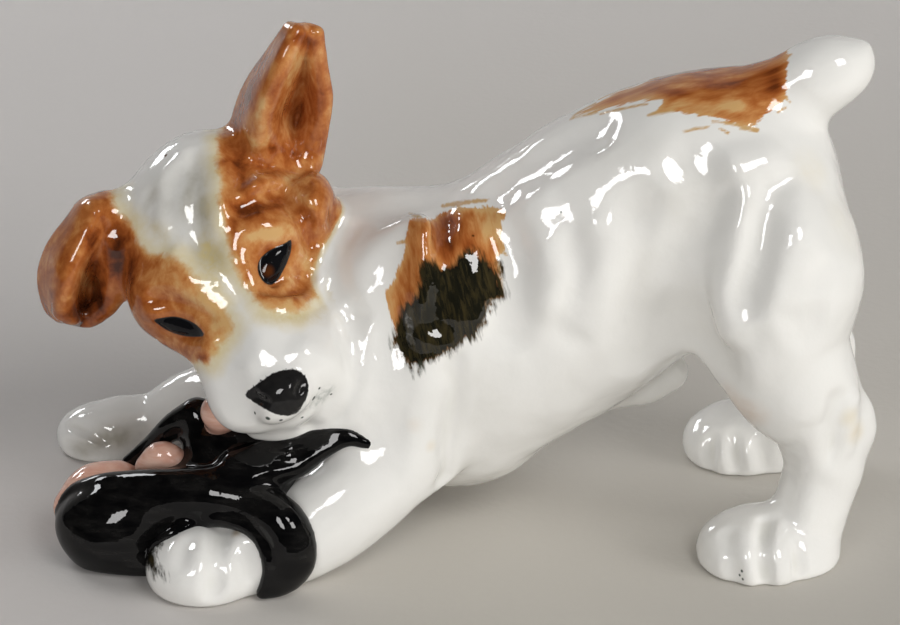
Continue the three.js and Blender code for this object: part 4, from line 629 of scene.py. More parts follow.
# ---- the slipper: its pieces lie on the dog, and reach 0.4 mm under its surface so that no gap shows ----
slipper_objects = {}
for n in ("slipper_upper", "slipper_lining"):
    b = Block(n)
    b.d = smax(b.d, -(DOG_D + 0.4), 0)
    if n == "slipper_lining":
        b.d = smax(b.d, -(UPPER_D + 0.4), 0)
    else:
        UPPER_D = b.d.copy()
    flat_sole(b.d, b)
    sv, sq = b.surface()
    sn = normals(sv, sq)
    if ((sv + sn - sv.mean(0)) ** 2).sum() < ((sv - sn - sv.mean(0)) ** 2).sum():
        sq, sn = sq[:, ::-1].copy(), -sn
    k = step(sv[:, 2], 0.3, 2.5) * 0.10
    sv = sv + sn * ((lumps(sv / 5.0 + 2.2) + 0.4 * lumps(sv / 2.2 + 7)) * k)[:, None]
    sv[:, 2] = np.maximum(sv[:, 2], 0)
    slipper_objects[n] = make_object("glaze_" + n, sv, sq)
print("slipper", round(time.time() - T0, 1))

# ---- smooth shading that runs on across the seams ----
tree = BVHTree.FromPolygons([tuple(x) for x in ((v + SHIFT) * MM).tolist()], q.tolist())
kd = KDTree(len(v))
for i, x in enumerate(((v + SHIFT) * MM).tolist()):
    kd.insert(x, i)
kd.balance()


def shade_across(ob, seams):
    me = ob.data
    me.shade_smooth()
    co = read(me, me.vertices, "co", 3)
    n = np.empty((len(co), 3))
    for i, x in enumerate(co.tolist()):
        _, j, dist = kd.find(x)
        if dist < 2e-8:
            n[i] = vn[j]
            continue
        spot, _, face, _ = tree.find_nearest(x)
        c = q[face]
        w = 1 / (np.linalg.norm((v[c] + SHIFT) * MM - np.array(x), axis=1) + 1e-9)
        n[i] = (vn[c] * w[:, None]).sum(0)
    n /= np.linalg.norm(n, axis=1)[:, None]
    fnorm = read(me, me.polygons, "normal", 3)
    fc = read(me, me.polygons, "center", 3) / MM - SHIFT
    cap = np.zeros(len(fc), bool)
    for s in seams:
        x = np.array(SEAMS[s]["x"], float)
        x /= np.linalg.norm(x)
        y = np.array(SEAMS[s]["y"], float)
        y -= x * (y @ x)
        y /= np.linalg.norm(y)
        for a, size in zip((x, y, np.cross(x, y)), SEAMS[s]["size"]):
            t = (fc - np.array(SEAMS[s]["at"])) @ a
            cap |= (np.abs(np.abs(t) - size / 2) < 2e-3) & (np.abs(fnorm @ a) > 0.9995)
    starts = read(me, me.polygons, "loop_start", 1, np.int32)
    totals = read(me, me.polygons, "loop_total", 1, np.int32)
    lv = read(me, me.loops, "vertex_index", 1, np.int32)
    owner = np.repeat(np.arange(len(starts)), totals)
    ln = n[lv]
    ln[cap[owner]] = fnorm[owner][cap[owner]]
    me.normals_split_custom_set(ln.tolist())
    return cap


SEAMS_OF = {"torso": ["tail", "left_hind_leg", "right_hind_leg", "left_foreleg", "right_foreleg", "head"], "head": ["head", "left_ear", "right_ear", "left_foreleg", "right_foreleg"]}
for name, ob in dog_objects.items():
    shade_across(ob, SEAMS_OF.get(name, [name]))
for ob in slipper_objects.values():
    ob.data.shade_smooth()
for ob in [whole, *BOXES.values()]:
    bpy.data.objects.remove(ob)
print("normals", round(time.time() - T0, 1))

# ---- paint: distances in mm to the borders of the patches, drawn as outlines in the picture's frame ----
PXMM = 6.8


def curve(pts, n=6):
    """a closed outline through the points, rounded"""
    p = np.asarray(pts, float)
    m = len(p)
    out = []
    for i in range(m):
        p0, p1, p2, p3 = p[i - 1], p[i], p[(i + 1) % m], p[(i + 2) % m]
        for f in np.arange(n) / n:
            out.append(0.5 * ((2 * p1) + (-p0 + p2) * f + (2 * p0 - 5 * p1 + 4 * p2 - p3) * f * f + (-p0 + 3 * p1 - 3 * p2 + p3) * f**3))
    return np.array(out)


def inside(P, poly):
    """distance in mm to the outline's border, above 0 within it"""
    d, within = np.full(len(P), 1e18), np.zeros(len(P), bool)
    for a, b in zip(poly, np.roll(poly, -1, 0)):
        e, w = b - a, P - a
        t = np.clip((w @ e) / max(e @ e, 1e-12), 0, 1)
        r = w - t[:, None] * e
        d = np.minimum(d, (r * r).sum(1))
        if a[1] != b[1]:
            within ^= ((a[1] <= P[:, 1]) != (b[1] <= P[:, 1])) & (P[:, 0] < (b[0] - a[0]) * (P[:, 1] - a[1]) / (b[1] - a[1]) + a[0])
    return np.where(within, 1, -1) * np.sqrt(d) / PXMM


def dab(P, pts):
    """distance in mm to a brush dab through x, y, r, above 0 within it"""
    pts = stations(pts, max(2, 4 * len(pts) - 3)) if len(pts) > 2 else np.asarray(pts, float)
    best = np.full(len(P), -1e9)
    for a, b in zip(pts[:-1], pts[1:]):
        e, w = b[:2] - a[:2], P - a[:2]
        t = np.clip((w @ e) / max(e @ e, 1e-12), 0, 1)
        r = w - t[:, None] * e
        best = np.maximum(best, a[2] + t * (b[2] - a[2]) - np.sqrt((r * r).sum(1)))
    return best / PXMM


def glow(P, spots):
    """sum of soft oval spots: x, y, half width, half height, turn in degrees, strength"""
    out = np.zeros(len(P))
    for x, y, a, b, turn, s in spots:
        t = math.radians(turn)
        dx, dy = P[:, 0] - x, P[:, 1] - y
        u, w = (dx * math.cos(t) + dy * math.sin(t)) / a, (-dx * math.sin(t) + dy * math.cos(t)) / b
        out += s * np.exp(-(u * u + w * w))
    return out


NEAR_PATCH = curve([(223, 119), (219, 140), (218, 160), (220, 178), (219, 195), (222, 212), (225, 228), (228, 242), (231, 256), (236, 270), (243, 284), (251, 296), (262, 305), (276, 310), (292, 311), (306, 306), (317, 297), (324, 285), (328, 270), (333, 252), (342, 235), (350, 205), (350, 160), (350, 90), (345, 5), (290, -5), (245, 40), (225, 85)])
FAR_PATCH = curve([(108, 180), (113, 200), (118, 212), (126, 222), (136, 232), (141, 246), (152, 254), (165, 256), (176, 261), (188, 269), (197, 279), (206, 290), (216, 300), (226, 313), (232, 325), (227, 335), (219, 343), (213, 353), (207, 364), (196, 362), (170, 372), (120, 352), (60, 350), (15, 330), (10, 240), (50, 180)])
SHOULDER = curve([(408, 222), (418, 218), (432, 219), (441, 214), (452, 209), (466, 207), (485, 206), (500, 208), (505, 213), (502, 226), (503, 240), (505, 250), (497, 258), (499, 272), (503, 288), (503, 298), (489, 300), (487, 313), (479, 327), (476, 336), (465, 339), (457, 345), (447, 352), (438, 357), (428, 361), (416, 365), (407, 360), (400, 348), (396, 334), (392, 322), (387, 306), (385, 296), (391, 284), (398, 268), (403, 254), (405, 243), (407, 232)])
SHOULDER_BLACK = curve([(462, 256), (470, 251), (478, 254), (485, 261), (494, 268), (500, 281), (504, 297), (489, 300), (488, 313), (480, 327), (477, 337), (466, 340), (457, 346), (447, 353), (438, 358), (428, 362), (416, 367), (406, 360), (399, 348), (396, 333), (400, 318), (405, 306), (413, 300), (421, 282), (422, 262), (430, 262), (438, 268), (448, 268), (455, 262)])
PAW_BLACK = curve([(138, 532), (150, 536), (160, 541), (156, 550), (155, 560), (161, 570), (165, 581), (156, 575), (146, 566), (136, 560)])
SADDLE = np.array([(556, 120), (570, 117), (583, 114), (600, 110), (622, 106), (645, 101), (662, 100), (660, 108), (656, 114), (672, 111), (690, 114), (708, 117), (722, 121), (735, 124), (748, 127), (757, 124), (764, 116), (774, 109), (783, 103), (787, 92), (786, 75), (788, 62), (790, 40), (790, -40), (640, -40), (540, 60), (545, 110)], float)
LEFT_EYE = curve([(291, 240), (285, 243), (276, 247), (267, 252), (260, 259), (257.5, 268), (260, 277), (265, 283), (271, 285), (277, 281), (282, 273), (287, 263), (291, 251)])
RIGHT_EYE = curve([(154, 320), (163, 317.5), (175, 316.5), (188, 320), (198, 326), (204, 335), (196, 337), (184, 336), (172, 332.5), (161, 326.5)])
NOSE = curve([(245, 394), (254, 386), (264, 379), (273, 373), (283, 370), (293, 369), (302, 373), (308, 382), (308, 394), (303, 405), (297, 413), (287, 416), (275, 414), (263, 408), (252, 401)])

# lighter (below 0) and darker (above 0) places in the brown: partly the paint's own uneven tone, partly painted shade
# in the ear hollows and under the brow folds and painted light on lit ridges
TONE_LIGHT_AND_SHADE = [
    (241, 165, 9, 16, 0, 0.55), (232, 205, 14, 6, -12, 0.25), (262, 208, 22, 6, -8, 0.45), (279, 203, 7, 4, 0, 0.35), (306, 112, 10, 20, 12, 0.28), (300, 62, 12, 24, 10, 0.0), (257, 86, 8, 40, 22, 0.22), (323, 80, 6, 50, -3, -0.2),
    (279, 75, 3, 36, 18, -0.15), (263, 118, 3, 20, 8, -0.25), (288, 84, 4, 14, 10, -0.2), (272, 143, 22, 8, 10, -0.2), (276, 149, 10, 6, 0, 0.45), (268, 234, 26, 7, -14, -0.75), (243, 258, 8, 22, 10, -0.1),
    (300, 262, 9, 16, 0, -0.1), (312, 214, 12, 22, 20, 0.15), (280, 301, 26, 6, 0, -0.15), (246, 218, 18, 8, -10, 0.35), (318, 250, 8, 22, 0, 0.05),
    (92, 285, 15, 34, 8, 0.35), (58, 270, 14, 44, 14, 0.10), (75, 268, 3, 40, 18, -0.05), (58, 270, 14, 36, 14, 0.05), (112, 262, 9, 30, 0, 0.3), (82, 222, 20, 10, -20, 0.05), (86, 262, 4, 26, 12, -0.2),
    (136, 290, 18, 24, 20, 0.15), (178, 284, 20, 12, 20, -0.3), (200, 312, 18, 10, 30, -0.35), (218, 328, 12, 12, 0, -0.45), (186, 350, 10, 6, 30, 0.15),
    (152, 305, 16, 8, 20, 0.2), (150, 246, 10, 6, 30, -0.1), 
    (455, 226, 16, 18, 0, 0.22), (446, 248, 7, 22, 0, 0.45), (434, 243, 8, 18, -10, -0.35), (422, 244, 6, 22, 10, 0.2), (488, 228, 13, 20, 0, -0.45), (500, 240, 4, 14, 0, 0.1),
    (478, 232, 4, 6, 0, 0.1), (470, 242, 16, 10, 0, 0.15), (392, 300, 8, 14, 0, -0.15), (406, 288, 8, 14, 10, 0.15), (425, 212, 16, 5, 0, 0.0), (476, 207, 24, 4, 0, -0.4),
    (288, 240, 48, 66, 0, -0.14), (250, 88, 7, 36, 25, 0.35), (262, 104, 4.5, 16, 15, -0.5), (304, 62, 9, 18, 8, -0.7), (290, 131, 8, 9, 0, -0.5), (275, 92, 5, 14, 15, 0.4),
    (322, 92, 6, 30, -3, 0.7), (314, 48, 8, 10, 0, 0.35), (300, 38, 8, 7, 0, 0.4), (300, 199, 12, 8, 0, -0.4), (285, 181, 14, 6, -25, -0.4),
    (309, 272, 14, 15, 0, -0.5), (80, 312, 11, 13, 0, 0.7), (91, 238, 8, 14, 0, 0.6), (117, 257, 8, 24, 0, 0.7), (101, 302, 9, 16, 0, 0.9),
    (88, 284, 5, 12, 0, -0.9), (130, 262, 10, 22, 0, 0.4), (206, 300, 12, 9, 30, -0.8), (202, 358, 6, 5, 0, 1.0),
    (775, 84, 10, 12, 0, 0.5), (720, 85, 26, 5, 0, 0.35), (672, 92, 26, 4, 6, 0.4), (735, 106, 18, 8, 10, -0.8), (700, 107, 26, 5, 6, -0.35), (660, 84, 30, 5, 8, -0.1),
    (610, 100, 26, 6, 16, 0.2), (740, 70, 40, 3, 0, 0.35), (640, 80, 40, 3, 18, 0.15), (768, 112, 8, 5, 40, 0.2),
]
OCHRE_DABS = [  # thin yellow strokes at the edges of patches: x, y, r
    [(443, 206, 1.6), (462, 203, 2.2), (488, 200, 1.2)], [(410, 214, 1.0), (420, 217, 1.6)], [(397, 243, 1.0), (407, 241, 2.0)],
    [(498, 262, 1.6), (501, 280, 1.2), (502, 292, 1.0)], [(500, 250, 2.0), (507, 255, 0.8)],
    [(684, 132, 0.8), (696, 129, 1.4), (708, 127, 0.6)], [(720, 129, 0.8), (728, 133, 1.2)], [(712, 121, 1.0), (735, 124, 1.8), (757, 130, 1.4)], [(740, 128, 1.0), (757, 131, 1.5)],
    [(648, 116, 0.8), (664, 111, 2.2), (684, 108, 2.6)], [(600, 114, 0.7), (630, 107, 1.3), (648, 104, 0.8)], [(570, 119, 0.6), (596, 112, 1.2)], [(662, 103, 1.0), (680, 98, 1.5)],
    [(785, 97, 2.0), (790, 102, 0.6)], [(778, 112, 1.2), (786, 108, 0.8)], [(786, 58, 1.4), (791, 54, 0.6)], [(778, 52, 1.5), (786, 46, 0.8)],
]
FOREHEAD_PAINTED_SHADE = [(203, 215, 16, 60, 0, 0.9), (165, 205, 30, 40, 30, 0.55), (212, 262, 22, 30, 0, 0.7), (190, 190, 6, 22, 12, 0.9), (205, 205, 5, 26, -10, 0.6), (150, 200, 5, 20, 30, 0.6)]  # painted shade: greyer and darker on the forehead and in its furrows
BODY_PAINTED_SHADE = [(690, 195, 70, 34, -10, 0.32), (620, 150, 50, 18, -15, 0.22), (822, 75, 20, 20, 0, 0.28), (480, 400, 30, 30, 0, 0.22), (470, 470, 30, 14, 0, 0.2), (780, 560, 34, 20, 0, 0.32), (640, 270, 16, 40, 10, 0.2)]  # painted shade: greyer on the back, rump and tail, low on the chest and hind paw, and in the flank hollow
FAR_LEG_SHADE_AND_REFLECTION = [(114, 438, 30, 13, -14, 1.7), (86, 450, 16, 10, 0, 0.7)]  # painted shade and painted reflection of the black slipper, low on the far foreleg beside it
CREAM = [(214, 268, 12, 30, -8, 0.9), (206, 246, 7, 20, 0, 0.6), (288, 317, 36, 8, 0, 0.7), (334, 285, 8, 16, 20, 0.5), (216, 345, 10, 12, 0, 0.8), (160, 232, 26, 8, 30, 0.5), (352, 275, 8, 40, 0, 0.35)]  # yellower glaze
BLACK_DABS = [  # hair strokes at the lower edge of the black and at the rim of the nose
    [(397, 338, 3), (394, 344, 2.0), (396, 352, 1.0), (400, 362, 0.6)], [(404, 350, 3), (408, 362, 1.5), (411, 368, 0.6)], [(412, 358, 3), (416, 366, 1.6), (418, 373, 0.6)],
    [(424, 358, 3), (422, 366, 0.8)], [(434, 352, 3), (438, 360, 0.8)], [(443, 350, 3), (446, 356, 0.8)], [(452, 344, 3), (452, 351, 0.8)], [(472, 334, 3), (479, 338, 0.8)],
    [(486, 322, 2), (482, 326, 0.8)], [(488, 302, 3), (494, 306, 0.9)], [(462, 336, 3), (462, 342, 0.8)], [(490, 312, 2), (494, 309, 0.6)],
    [(500, 262, 0.7), (502, 270, 0.9), (500, 276, 0.6)],
]
NOSE_HAIRS = [[(262, 384, 1.2), (260.1, 379.7, 0.7)], [(268, 380, 1.2), (266.1, 375.0, 0.7)], [(274, 377, 1.2), (272.1, 372.0, 0.7)], [(280, 375, 1.2), (278.8, 369.4, 0.7)], [(286, 373, 1.2), (285.4, 368.0, 0.7)], [(292, 373, 1.2), (292.0, 368.0, 0.7)], [(298, 375, 1.2), (299.2, 370.0, 0.7)], [(303, 379, 1.2), (304.9, 374.7, 0.7)], [(256, 389, 1.2), (253.5, 385.3, 0.7)]]


def paint(ob):
    me = ob.data
    p = read(me, me.vertices, "co", 3).astype(float) / MM - SHIFT
    P = project(p)
    mirrored = p.copy()
    mirrored[:, 1] = -np.abs(mirrored[:, 1])
    M = project(mirrored)
    by_x = np.argsort(p[:, 0], kind="stable")
    ps = p[by_x].astype(f32)

    def part(name):
        out = np.empty(len(p))
        out[by_x] = piece_field(name, ps)
        return out

    head = np.minimum(np.minimum(part("head"), part("left_ear")), part("right_ear"))
    others = np.minimum(part("torso"), np.minimum(part("left_foreleg"), part("right_foreleg")))
    head_side = others - head
    gate_head = np.where(head_side < 0, head_side * 2.6, head_side * 0.8) + 0.4
    brown_face = np.minimum(np.maximum(inside(P, NEAR_PATCH), inside(P, FAR_PATCH)), gate_head)
    gate_near = -p[:, 1] + 2 - np.maximum(head_side, 0)
    black_dabs = np.max([dab(P, d) for d in BLACK_DABS], 0)
    shoulder = np.minimum(np.maximum(inside(P, SHOULDER), black_dabs), gate_near)
    black = np.minimum(np.maximum(inside(P, SHOULDER_BLACK), black_dabs), gate_near)
    black = np.maximum(black, np.minimum(inside(P, PAW_BLACK), np.minimum(14 - p[:, 2], -14 - p[:, 1])))
    saddle = np.minimum(inside(M, SADDLE), (p[:, 2] - 40) / 3)
    ochre = np.max([dab(np.where((P[:, :1] > 540), M, P), d) for d in OCHRE_DABS], 0)
    ochre = np.minimum(ochre, np.where(p[:, 0] > 8, 5, np.maximum(np.minimum(gate_head, 5), np.where(P[:, 0] > 380, gate_near, -5))))
    nose_at, eye_l, eye_r = surface_point((280, 392)), surface_point((274, 263)), surface_point((180, 327))
    near = lambda c, r: r - np.linalg.norm(p - c, axis=1)
    eye = np.minimum(inside(P, LEFT_EYE), near(eye_l, 7))
    eye = np.maximum(eye, np.minimum(inside(P, RIGHT_EYE), near(eye_r, 7)))
    nose = np.minimum(np.maximum(inside(P, NOSE), np.max([dab(P, d) for d in NOSE_HAIRS], 0)), near(nose_at, 10))
    # brush direction: across is squeezed, along is stretched
    face_uv = p * [0.62, 0.62, 0.5]
    t = math.radians(78)
    down = np.stack([P[:, 0] / PXMM * math.sin(t) - P[:, 1] / PXMM * math.cos(t), (P[:, 0] / PXMM * math.cos(t) + P[:, 1] / PXMM * math.sin(t)) * 0.16, p[:, 1] * 0.3], 1)
    t = math.radians(22)
    along = np.stack([(p[:, 0] * math.cos(t) + p[:, 2] * math.sin(t)) * 0.10, -p[:, 0] * math.sin(t) + p[:, 2] * math.cos(t), p[:, 1] * 0.7], 1)
    uv = np.where((p[:, 0] > 8)[:, None], along, np.where((head_side > 0)[:, None], face_uv, down))
    values = {
        "brown_face": brown_face, "brown_body": np.maximum(shoulder, saddle), "black": black, "ochre": ochre, "eyes": eye, "nose": nose,
        "tone_and_shade": glow(np.where((P[:, :1] > 540), M, P), TONE_LIGHT_AND_SHADE), "painted_shade": np.where(head_side > -1, glow(P, FOREHEAD_PAINTED_SHADE), np.where((p[:, 1] > 2) & (p[:, 0] < 0), glow(P, FAR_LEG_SHADE_AND_REFLECTION), np.where(head_side > -4, 0, glow(P, BODY_PAINTED_SHADE)))), "cream": np.where(head_side > -3, glow(P, CREAM), 0), "hollow": hollow(p), "body": -head_side,
    }
    for n, a in values.items():
        at = me.attributes.new(n, "FLOAT", "POINT")
        at.data.foreach_set("value", np.clip(a, -9, 9).astype(f32))
    at = me.attributes.new("stroke", "FLOAT_VECTOR", "POINT")
    at.data.foreach_set("vector", uv.astype(f32).ravel())


def surface_point(pixel):
    """where the line of sight through a place in the picture meets the dog"""
    ray = LOOK + RIGHT * (pixel[0] - 450) / FOCAL + UP * (312.5 - pixel[1]) / FOCAL
    ray /= np.linalg.norm(ray)
    pts = EYE + ray * np.arange(520, 690, 0.2)[:, None]
    ok = ((pts > LO) & (pts < HI - 1)).all(1)
    pts = pts[ok]
    val = shape.at(pts)
    return pts[np.argmax(val < 0)]


def hollow(p):
    """0 on flat and rounded places, towards 1 in creases, -1 on sharp ridges"""
    out = np.zeros(len(p))
    for e, w in ((0.9, 0.5), (1.8, 0.5)):
        around = sum(shape.at(p + s * e * np.eye(3)[a]) for a in range(3) for s in (-1, 1)) / 6 - shape.at(p)
        out -= w * around / e
    return np.clip(out * 3.0, -1, 1)


class Shape:
    pass


shape = Block.__new__(Block)
shape.lo, shape.h, shape.d = LO, FINE, DOG_D
for ob in dog_objects.values():
    paint(ob)
print("paint", round(time.time() - T0, 1))


# ---- materials ----
class Nodes:
    """short names for shader nodes"""

    def __init__(s, name):
        s.mat = bpy.data.materials.new(name)
        s.mat.use_nodes = True
        s.nt = s.mat.node_tree
        s.nt.nodes.clear()
        s.out = s.nt.nodes.new("ShaderNodeOutputMaterial")
        s.bsdf = s.nt.nodes.new("ShaderNodeBsdfPrincipled")
        s.nt.links.new(s.bsdf.outputs[0], s.out.inputs[0])
        s.coord = s.nt.nodes.new("ShaderNodeTexCoord").outputs["Object"]

    def put(s, socket, x):
        if isinstance(x, bpy.types.NodeSocket):
            s.nt.links.new(x, socket)
        elif isinstance(x, (tuple, list)) and len(x) == 3 and socket.type == "RGBA":
            socket.default_value = (*x, 1)
        else:
            socket.default_value = x

    def attr(s, name, vector=False):
        n = s.nt.nodes.new("ShaderNodeAttribute")
        n.attribute_name = name
        return n.outputs["Vector" if vector else "Fac"]

    def math(s, op, a, b=0.0, c=0.0):
        n = s.nt.nodes.new("ShaderNodeMath")
        n.operation = op
        for i, x in enumerate((a, b, c)):
            s.put(n.inputs[i], x)
        return n.outputs[0]

    def add(s, a, b):
        return s.math("ADD", a, b)

    def mul(s, a, b):
        return s.math("MULTIPLY", a, b)

    def ramp(s, x, lo, hi, a=0.0, b=1.0):
        n = s.nt.nodes.new("ShaderNodeMapRange")
        n.interpolation_type = "SMOOTHSTEP"
        for k, y in (("Value", x), ("From Min", lo), ("From Max", hi), ("To Min", a), ("To Max", b)):
            s.put(n.inputs[k], y)
        return n.outputs[0]

    def noise(s, vec, scale, detail=3.0, rough=0.55, distort=0.0):
        n = s.nt.nodes.new("ShaderNodeTexNoise")
        s.put(n.inputs["Vector"], vec)
        for k, y in (("Scale", scale), ("Detail", detail), ("Roughness", rough), ("Distortion", distort)):
            n.inputs[k].default_value = y
        return n.outputs["Fac"]

    def mix(s, f, a, b, mode="MIX"):
        n = s.nt.nodes.new("ShaderNodeMix")
        n.data_type, n.blend_type = "RGBA", mode
        s.put(n.inputs[0], f)
        s.put(n.inputs[6], a)
        s.put(n.inputs[7], b)
        return n.outputs[2]

    def colours(s, x, stops):
        n = s.nt.nodes.new("ShaderNodeValToRGB")
        while len(n.color_ramp.elements) < len(stops):
            n.color_ramp.elements.new(0.5)
        for e, (at, c) in zip(n.color_ramp.elements, stops):
            e.position, e.color = at, (*c, 1)
        s.put(n.inputs[0], x)
        return n.outputs[0]

    def dots(s, places, soft=0.15):
        """1 inside small round dots: places in mm, sculpting axes, with radius"""
        best = None
        for x, y, z, r in places:
            n = s.nt.nodes.new("ShaderNodeVectorMath")
            n.operation = "DISTANCE"
            s.put(n.inputs[0], s.coord)
            n.inputs[1].default_value = tuple((np.array([x, y, z]) + SHIFT) * MM)
            d = s.ramp(n.outputs["Value"], (r + soft) * MM, (r - soft) * MM)
            best = d if best is None else s.math("MAXIMUM", best, d)
        return best

    def glaze(s, colour, bump=None, strength=0.1, distance=0.0001, base_rough=0.5, coat=1.52):
        b = s.bsdf.inputs
        s.put(b["Base Color"], colour)
        b["Roughness"].default_value = base_rough
        b["Specular IOR Level"].default_value = 0.0
        b["Coat Weight"].default_value = 1.0
        b["Coat Roughness"].default_value = 0.03
        b["Coat IOR"].default_value = coat
        if bump is not None:
            n = s.nt.nodes.new("ShaderNodeBump")
            n.inputs["Strength"].default_value = strength
            n.inputs["Distance"].default_value = distance
            s.put(n.inputs["Height"], bump)
            s.nt.links.new(n.outputs[0], b["Normal"])
            s.nt.links.new(n.outputs[0], b["Coat Normal"])
        return s.mat


def china():
    m = Nodes("painted_china")
    K = 1000.0  # noise scale 1 is 1 per mm after this
    stroke = m.attr("stroke", True)
    fine = m.noise(stroke, 1.6, 4.0, 0.6, 0.3)
    wide = m.noise(stroke, 0.55, 3.0, 0.5, 0.6)
    soft = m.noise(m.coord, 0.05 * K, 2.0)
    mid = m.noise(m.coord, 0.22 * K, 3.0)
    hollow = m.attr("hollow")
    tone_and_shade = m.attr("tone_and_shade")
    # white china under the glaze; in creases it is greener and darker, partly glaze pooling, partly painted crease
    # shade
    white = m.mix(soft, (0.78, 0.775, 0.75), (0.835, 0.825, 0.795))
    pooling_and_crease_shade = m.ramp(hollow, 0.12, 0.9, 0.0, 0.55)
    white = m.mix(pooling_and_crease_shade, white, (0.56, 0.555, 0.47))
    # painted shade: the white is greyed and darkened where less light falls, on forehead, back, rump and far foreleg
    white = m.mix(m.mul(m.attr("painted_shade"), m.ramp(mid, 0.3, 0.7, 0.45, 0.85)), white, (0.42, 0.40, 0.345))
    # yellow halo round the face patches
    face = m.attr("brown_face")
    grain = m.noise(m.coord, 0.9 * K, 3.0, 0.6)
    f_edge = m.add(face, m.math("MULTIPLY_ADD", mid, 1.8, -0.9))
    f_edge = m.add(f_edge, m.math("MULTIPLY_ADD", grain, 1.3, -0.65))
    halo = m.mul(m.ramp(m.add(face, m.math("MULTIPLY_ADD", mid, 3.0, -1.5)), -3.6, -0.2), m.math("MULTIPLY_ADD", grain, 0.5, 0.45))
    white = m.mix(halo, white, (0.69, 0.575, 0.31))
    cream = m.math("MINIMUM", m.mul(m.attr("cream"), m.ramp(m.add(m.mul(mid, 0.6), m.mul(grain, 0.5)), 0.32, 0.72, 0.25, 1.0)), 0.9)
    white = m.mix(cream, white, (0.60, 0.49, 0.235))
    ochre = m.ramp(m.add(m.attr("ochre"), m.math("MULTIPLY_ADD", fine, 0.7, -0.35)), -0.22, 0.16, 0.0, 0.9)
    base = m.mix(ochre, white, (0.56, 0.33, 0.10))
    # brown
    body = m.attr("brown_body")
    b_edge = m.add(body, m.math("MULTIPLY_ADD", fine, 1.9, -0.95))
    f_mask = m.ramp(f_edge, -0.70, 0.50)
    b_mask = m.ramp(b_edge, -0.14, 0.22)
    depth = m.math("MAXIMUM", m.ramp(face, -0.2, 1.4), m.ramp(body, -0.3, 1.6))
    t = m.math("MULTIPLY_ADD", wide, 1.0, -0.155)
    t = m.add(t, m.math("MULTIPLY_ADD", fine, 0.50, -0.25))
    t = m.add(t, m.math("MULTIPLY_ADD", depth, 0.30, -0.26))
    # painted shade: the brown is painted darker in creases
    t = m.add(t, m.math("MAXIMUM", m.mul(hollow, 0.10), m.math("MINIMUM", m.mul(hollow, 0.26), 0.20)))
    # the brown's own uneven tone, together with painted light and painted shade
    t = m.add(t, m.mul(tone_and_shade, 0.60))
    brown = m.colours(t, [(0.0, (0.62, 0.38, 0.16)), (0.20, (0.55, 0.245, 0.082)), (0.40, (0.42, 0.138, 0.036)), (0.60, (0.29, 0.075, 0.017)), (0.80, (0.15, 0.036, 0.009)), (1.0, (0.06, 0.016, 0.006))])
    base = m.mix(m.math("MAXIMUM", f_mask, b_mask), base, brown)
    # the shoulder's black, olive where it thins
    black = m.attr("black")
    k_edge = m.add(black, m.math("MULTIPLY_ADD", fine, 3.4, -1.7))
    k_tone = m.colours(m.add(m.mul(fine, 0.8), m.mul(wide, 0.4)), [(0.25, (0.004, 0.004, 0.0035)), (0.55, (0.011, 0.0105, 0.0065)), (0.85, (0.055, 0.042, 0.017))])
    base = m.mix(m.ramp(k_edge, -0.75, 0.45), base, k_tone)
    # stains, specks and whisker dots
    for (px, r, c, f) in STAINS:
        x, y, z = surface_point(px)
        base = m.mix(m.mul(m.dots([(x, y, z, r)], r * 0.9), m.math("MULTIPLY", m.ramp(mid, 0.35, 0.65, 0.5, 1.0), f)), base, c)
    grey = m.dots([(*surface_point(p), r) for p, r in SMUDGES], 0.9)
    base = m.mix(m.mul(grey, m.ramp(fine, 0.35, 0.7, 0.0, 0.55)), base, (0.16, 0.20, 0.17))
    base = m.mix(m.dots([(*surface_point(p), r) for p, r in DOTS], 0.12), base, (0.03, 0.045, 0.035))
    base = m.mix(m.dots([(*surface_point(p), r) for p, r in BROWN_DOTS], 0.12), base, (0.10, 0.03, 0.01))
    # eyes and nose
    eye = m.ramp(m.attr("eyes"), -0.10, 0.10)
    eye_c = m.mix(m.dots([(*surface_point((268, 271)), 0.75)], 0.5), (0.006, 0.006, 0.007), (0.075, 0.022, 0.006))
    eye_c = m.mix(m.ramp(m.attr("eyes"), 0.30, 0.08, 0.0, 0.30), eye_c, (0.035, 0.05, 0.05))
    base = m.mix(eye, base, eye_c)
    nose = m.ramp(m.add(m.attr("nose"), m.math("MULTIPLY_ADD", m.noise(m.coord, 2.2 * K, 2.0), 0.3, -0.15)), -0.08, 0.12)
    base = m.mix(nose, base, m.mix(fine, (0.007, 0.007, 0.008), (0.022, 0.021, 0.020)))
    bump = m.add(m.mul(m.noise(m.coord, 0.55 * K, 2.0), 1.0), m.mul(m.noise(m.coord, 1.7 * K, 2.0), 0.22))
    m.glaze(base, bump, 0.35, 0.00012)
    m.put(m.bsdf.inputs["Coat Weight"], m.ramp(m.math("MAXIMUM", eye, nose), 0.0, 1.0, 1.0, 0.55))
    return m.mat


STAINS = [((856, 432), 1.5, (0.66, 0.52, 0.27), 0.40), ((850, 417), 1.3, (0.70, 0.58, 0.34), 0.35), ((738, 405), 2.6, (0.62, 0.42, 0.30), 0.65), ((756, 412), 1.8, (0.62, 0.45, 0.33), 0.35), ((431, 446), 0.8, (0.72, 0.60, 0.42), 0.35), ((236, 533), 0.7, (0.32, 0.22, 0.10), 0.8), ((810, 170), 2.5, (0.76, 0.68, 0.48), 0.3), ((848, 225), 4.0, (0.80, 0.74, 0.58), 0.25), ((415, 425), 1.0, (0.72, 0.60, 0.48), 0.25)]
SMUDGES = [((318, 398), 1.5), ((326, 392), 1.1), ((310, 404), 1.0), ((420, 368), 0.6)]
DOTS = [((255, 413), 0.22), ((268, 418), 0.36), ((281, 420), 0.26), ((313, 398), 0.40), ((319, 388), 0.22), ((302, 417), 0.22), ((331, 394), 0.18), ((561, 212), 0.20), ((742, 571), 0.22), ((740, 575), 0.2), ((743, 579), 0.2)]
BROWN_DOTS = [((166, 156), 0.30), ((473, 236), 0.20)]


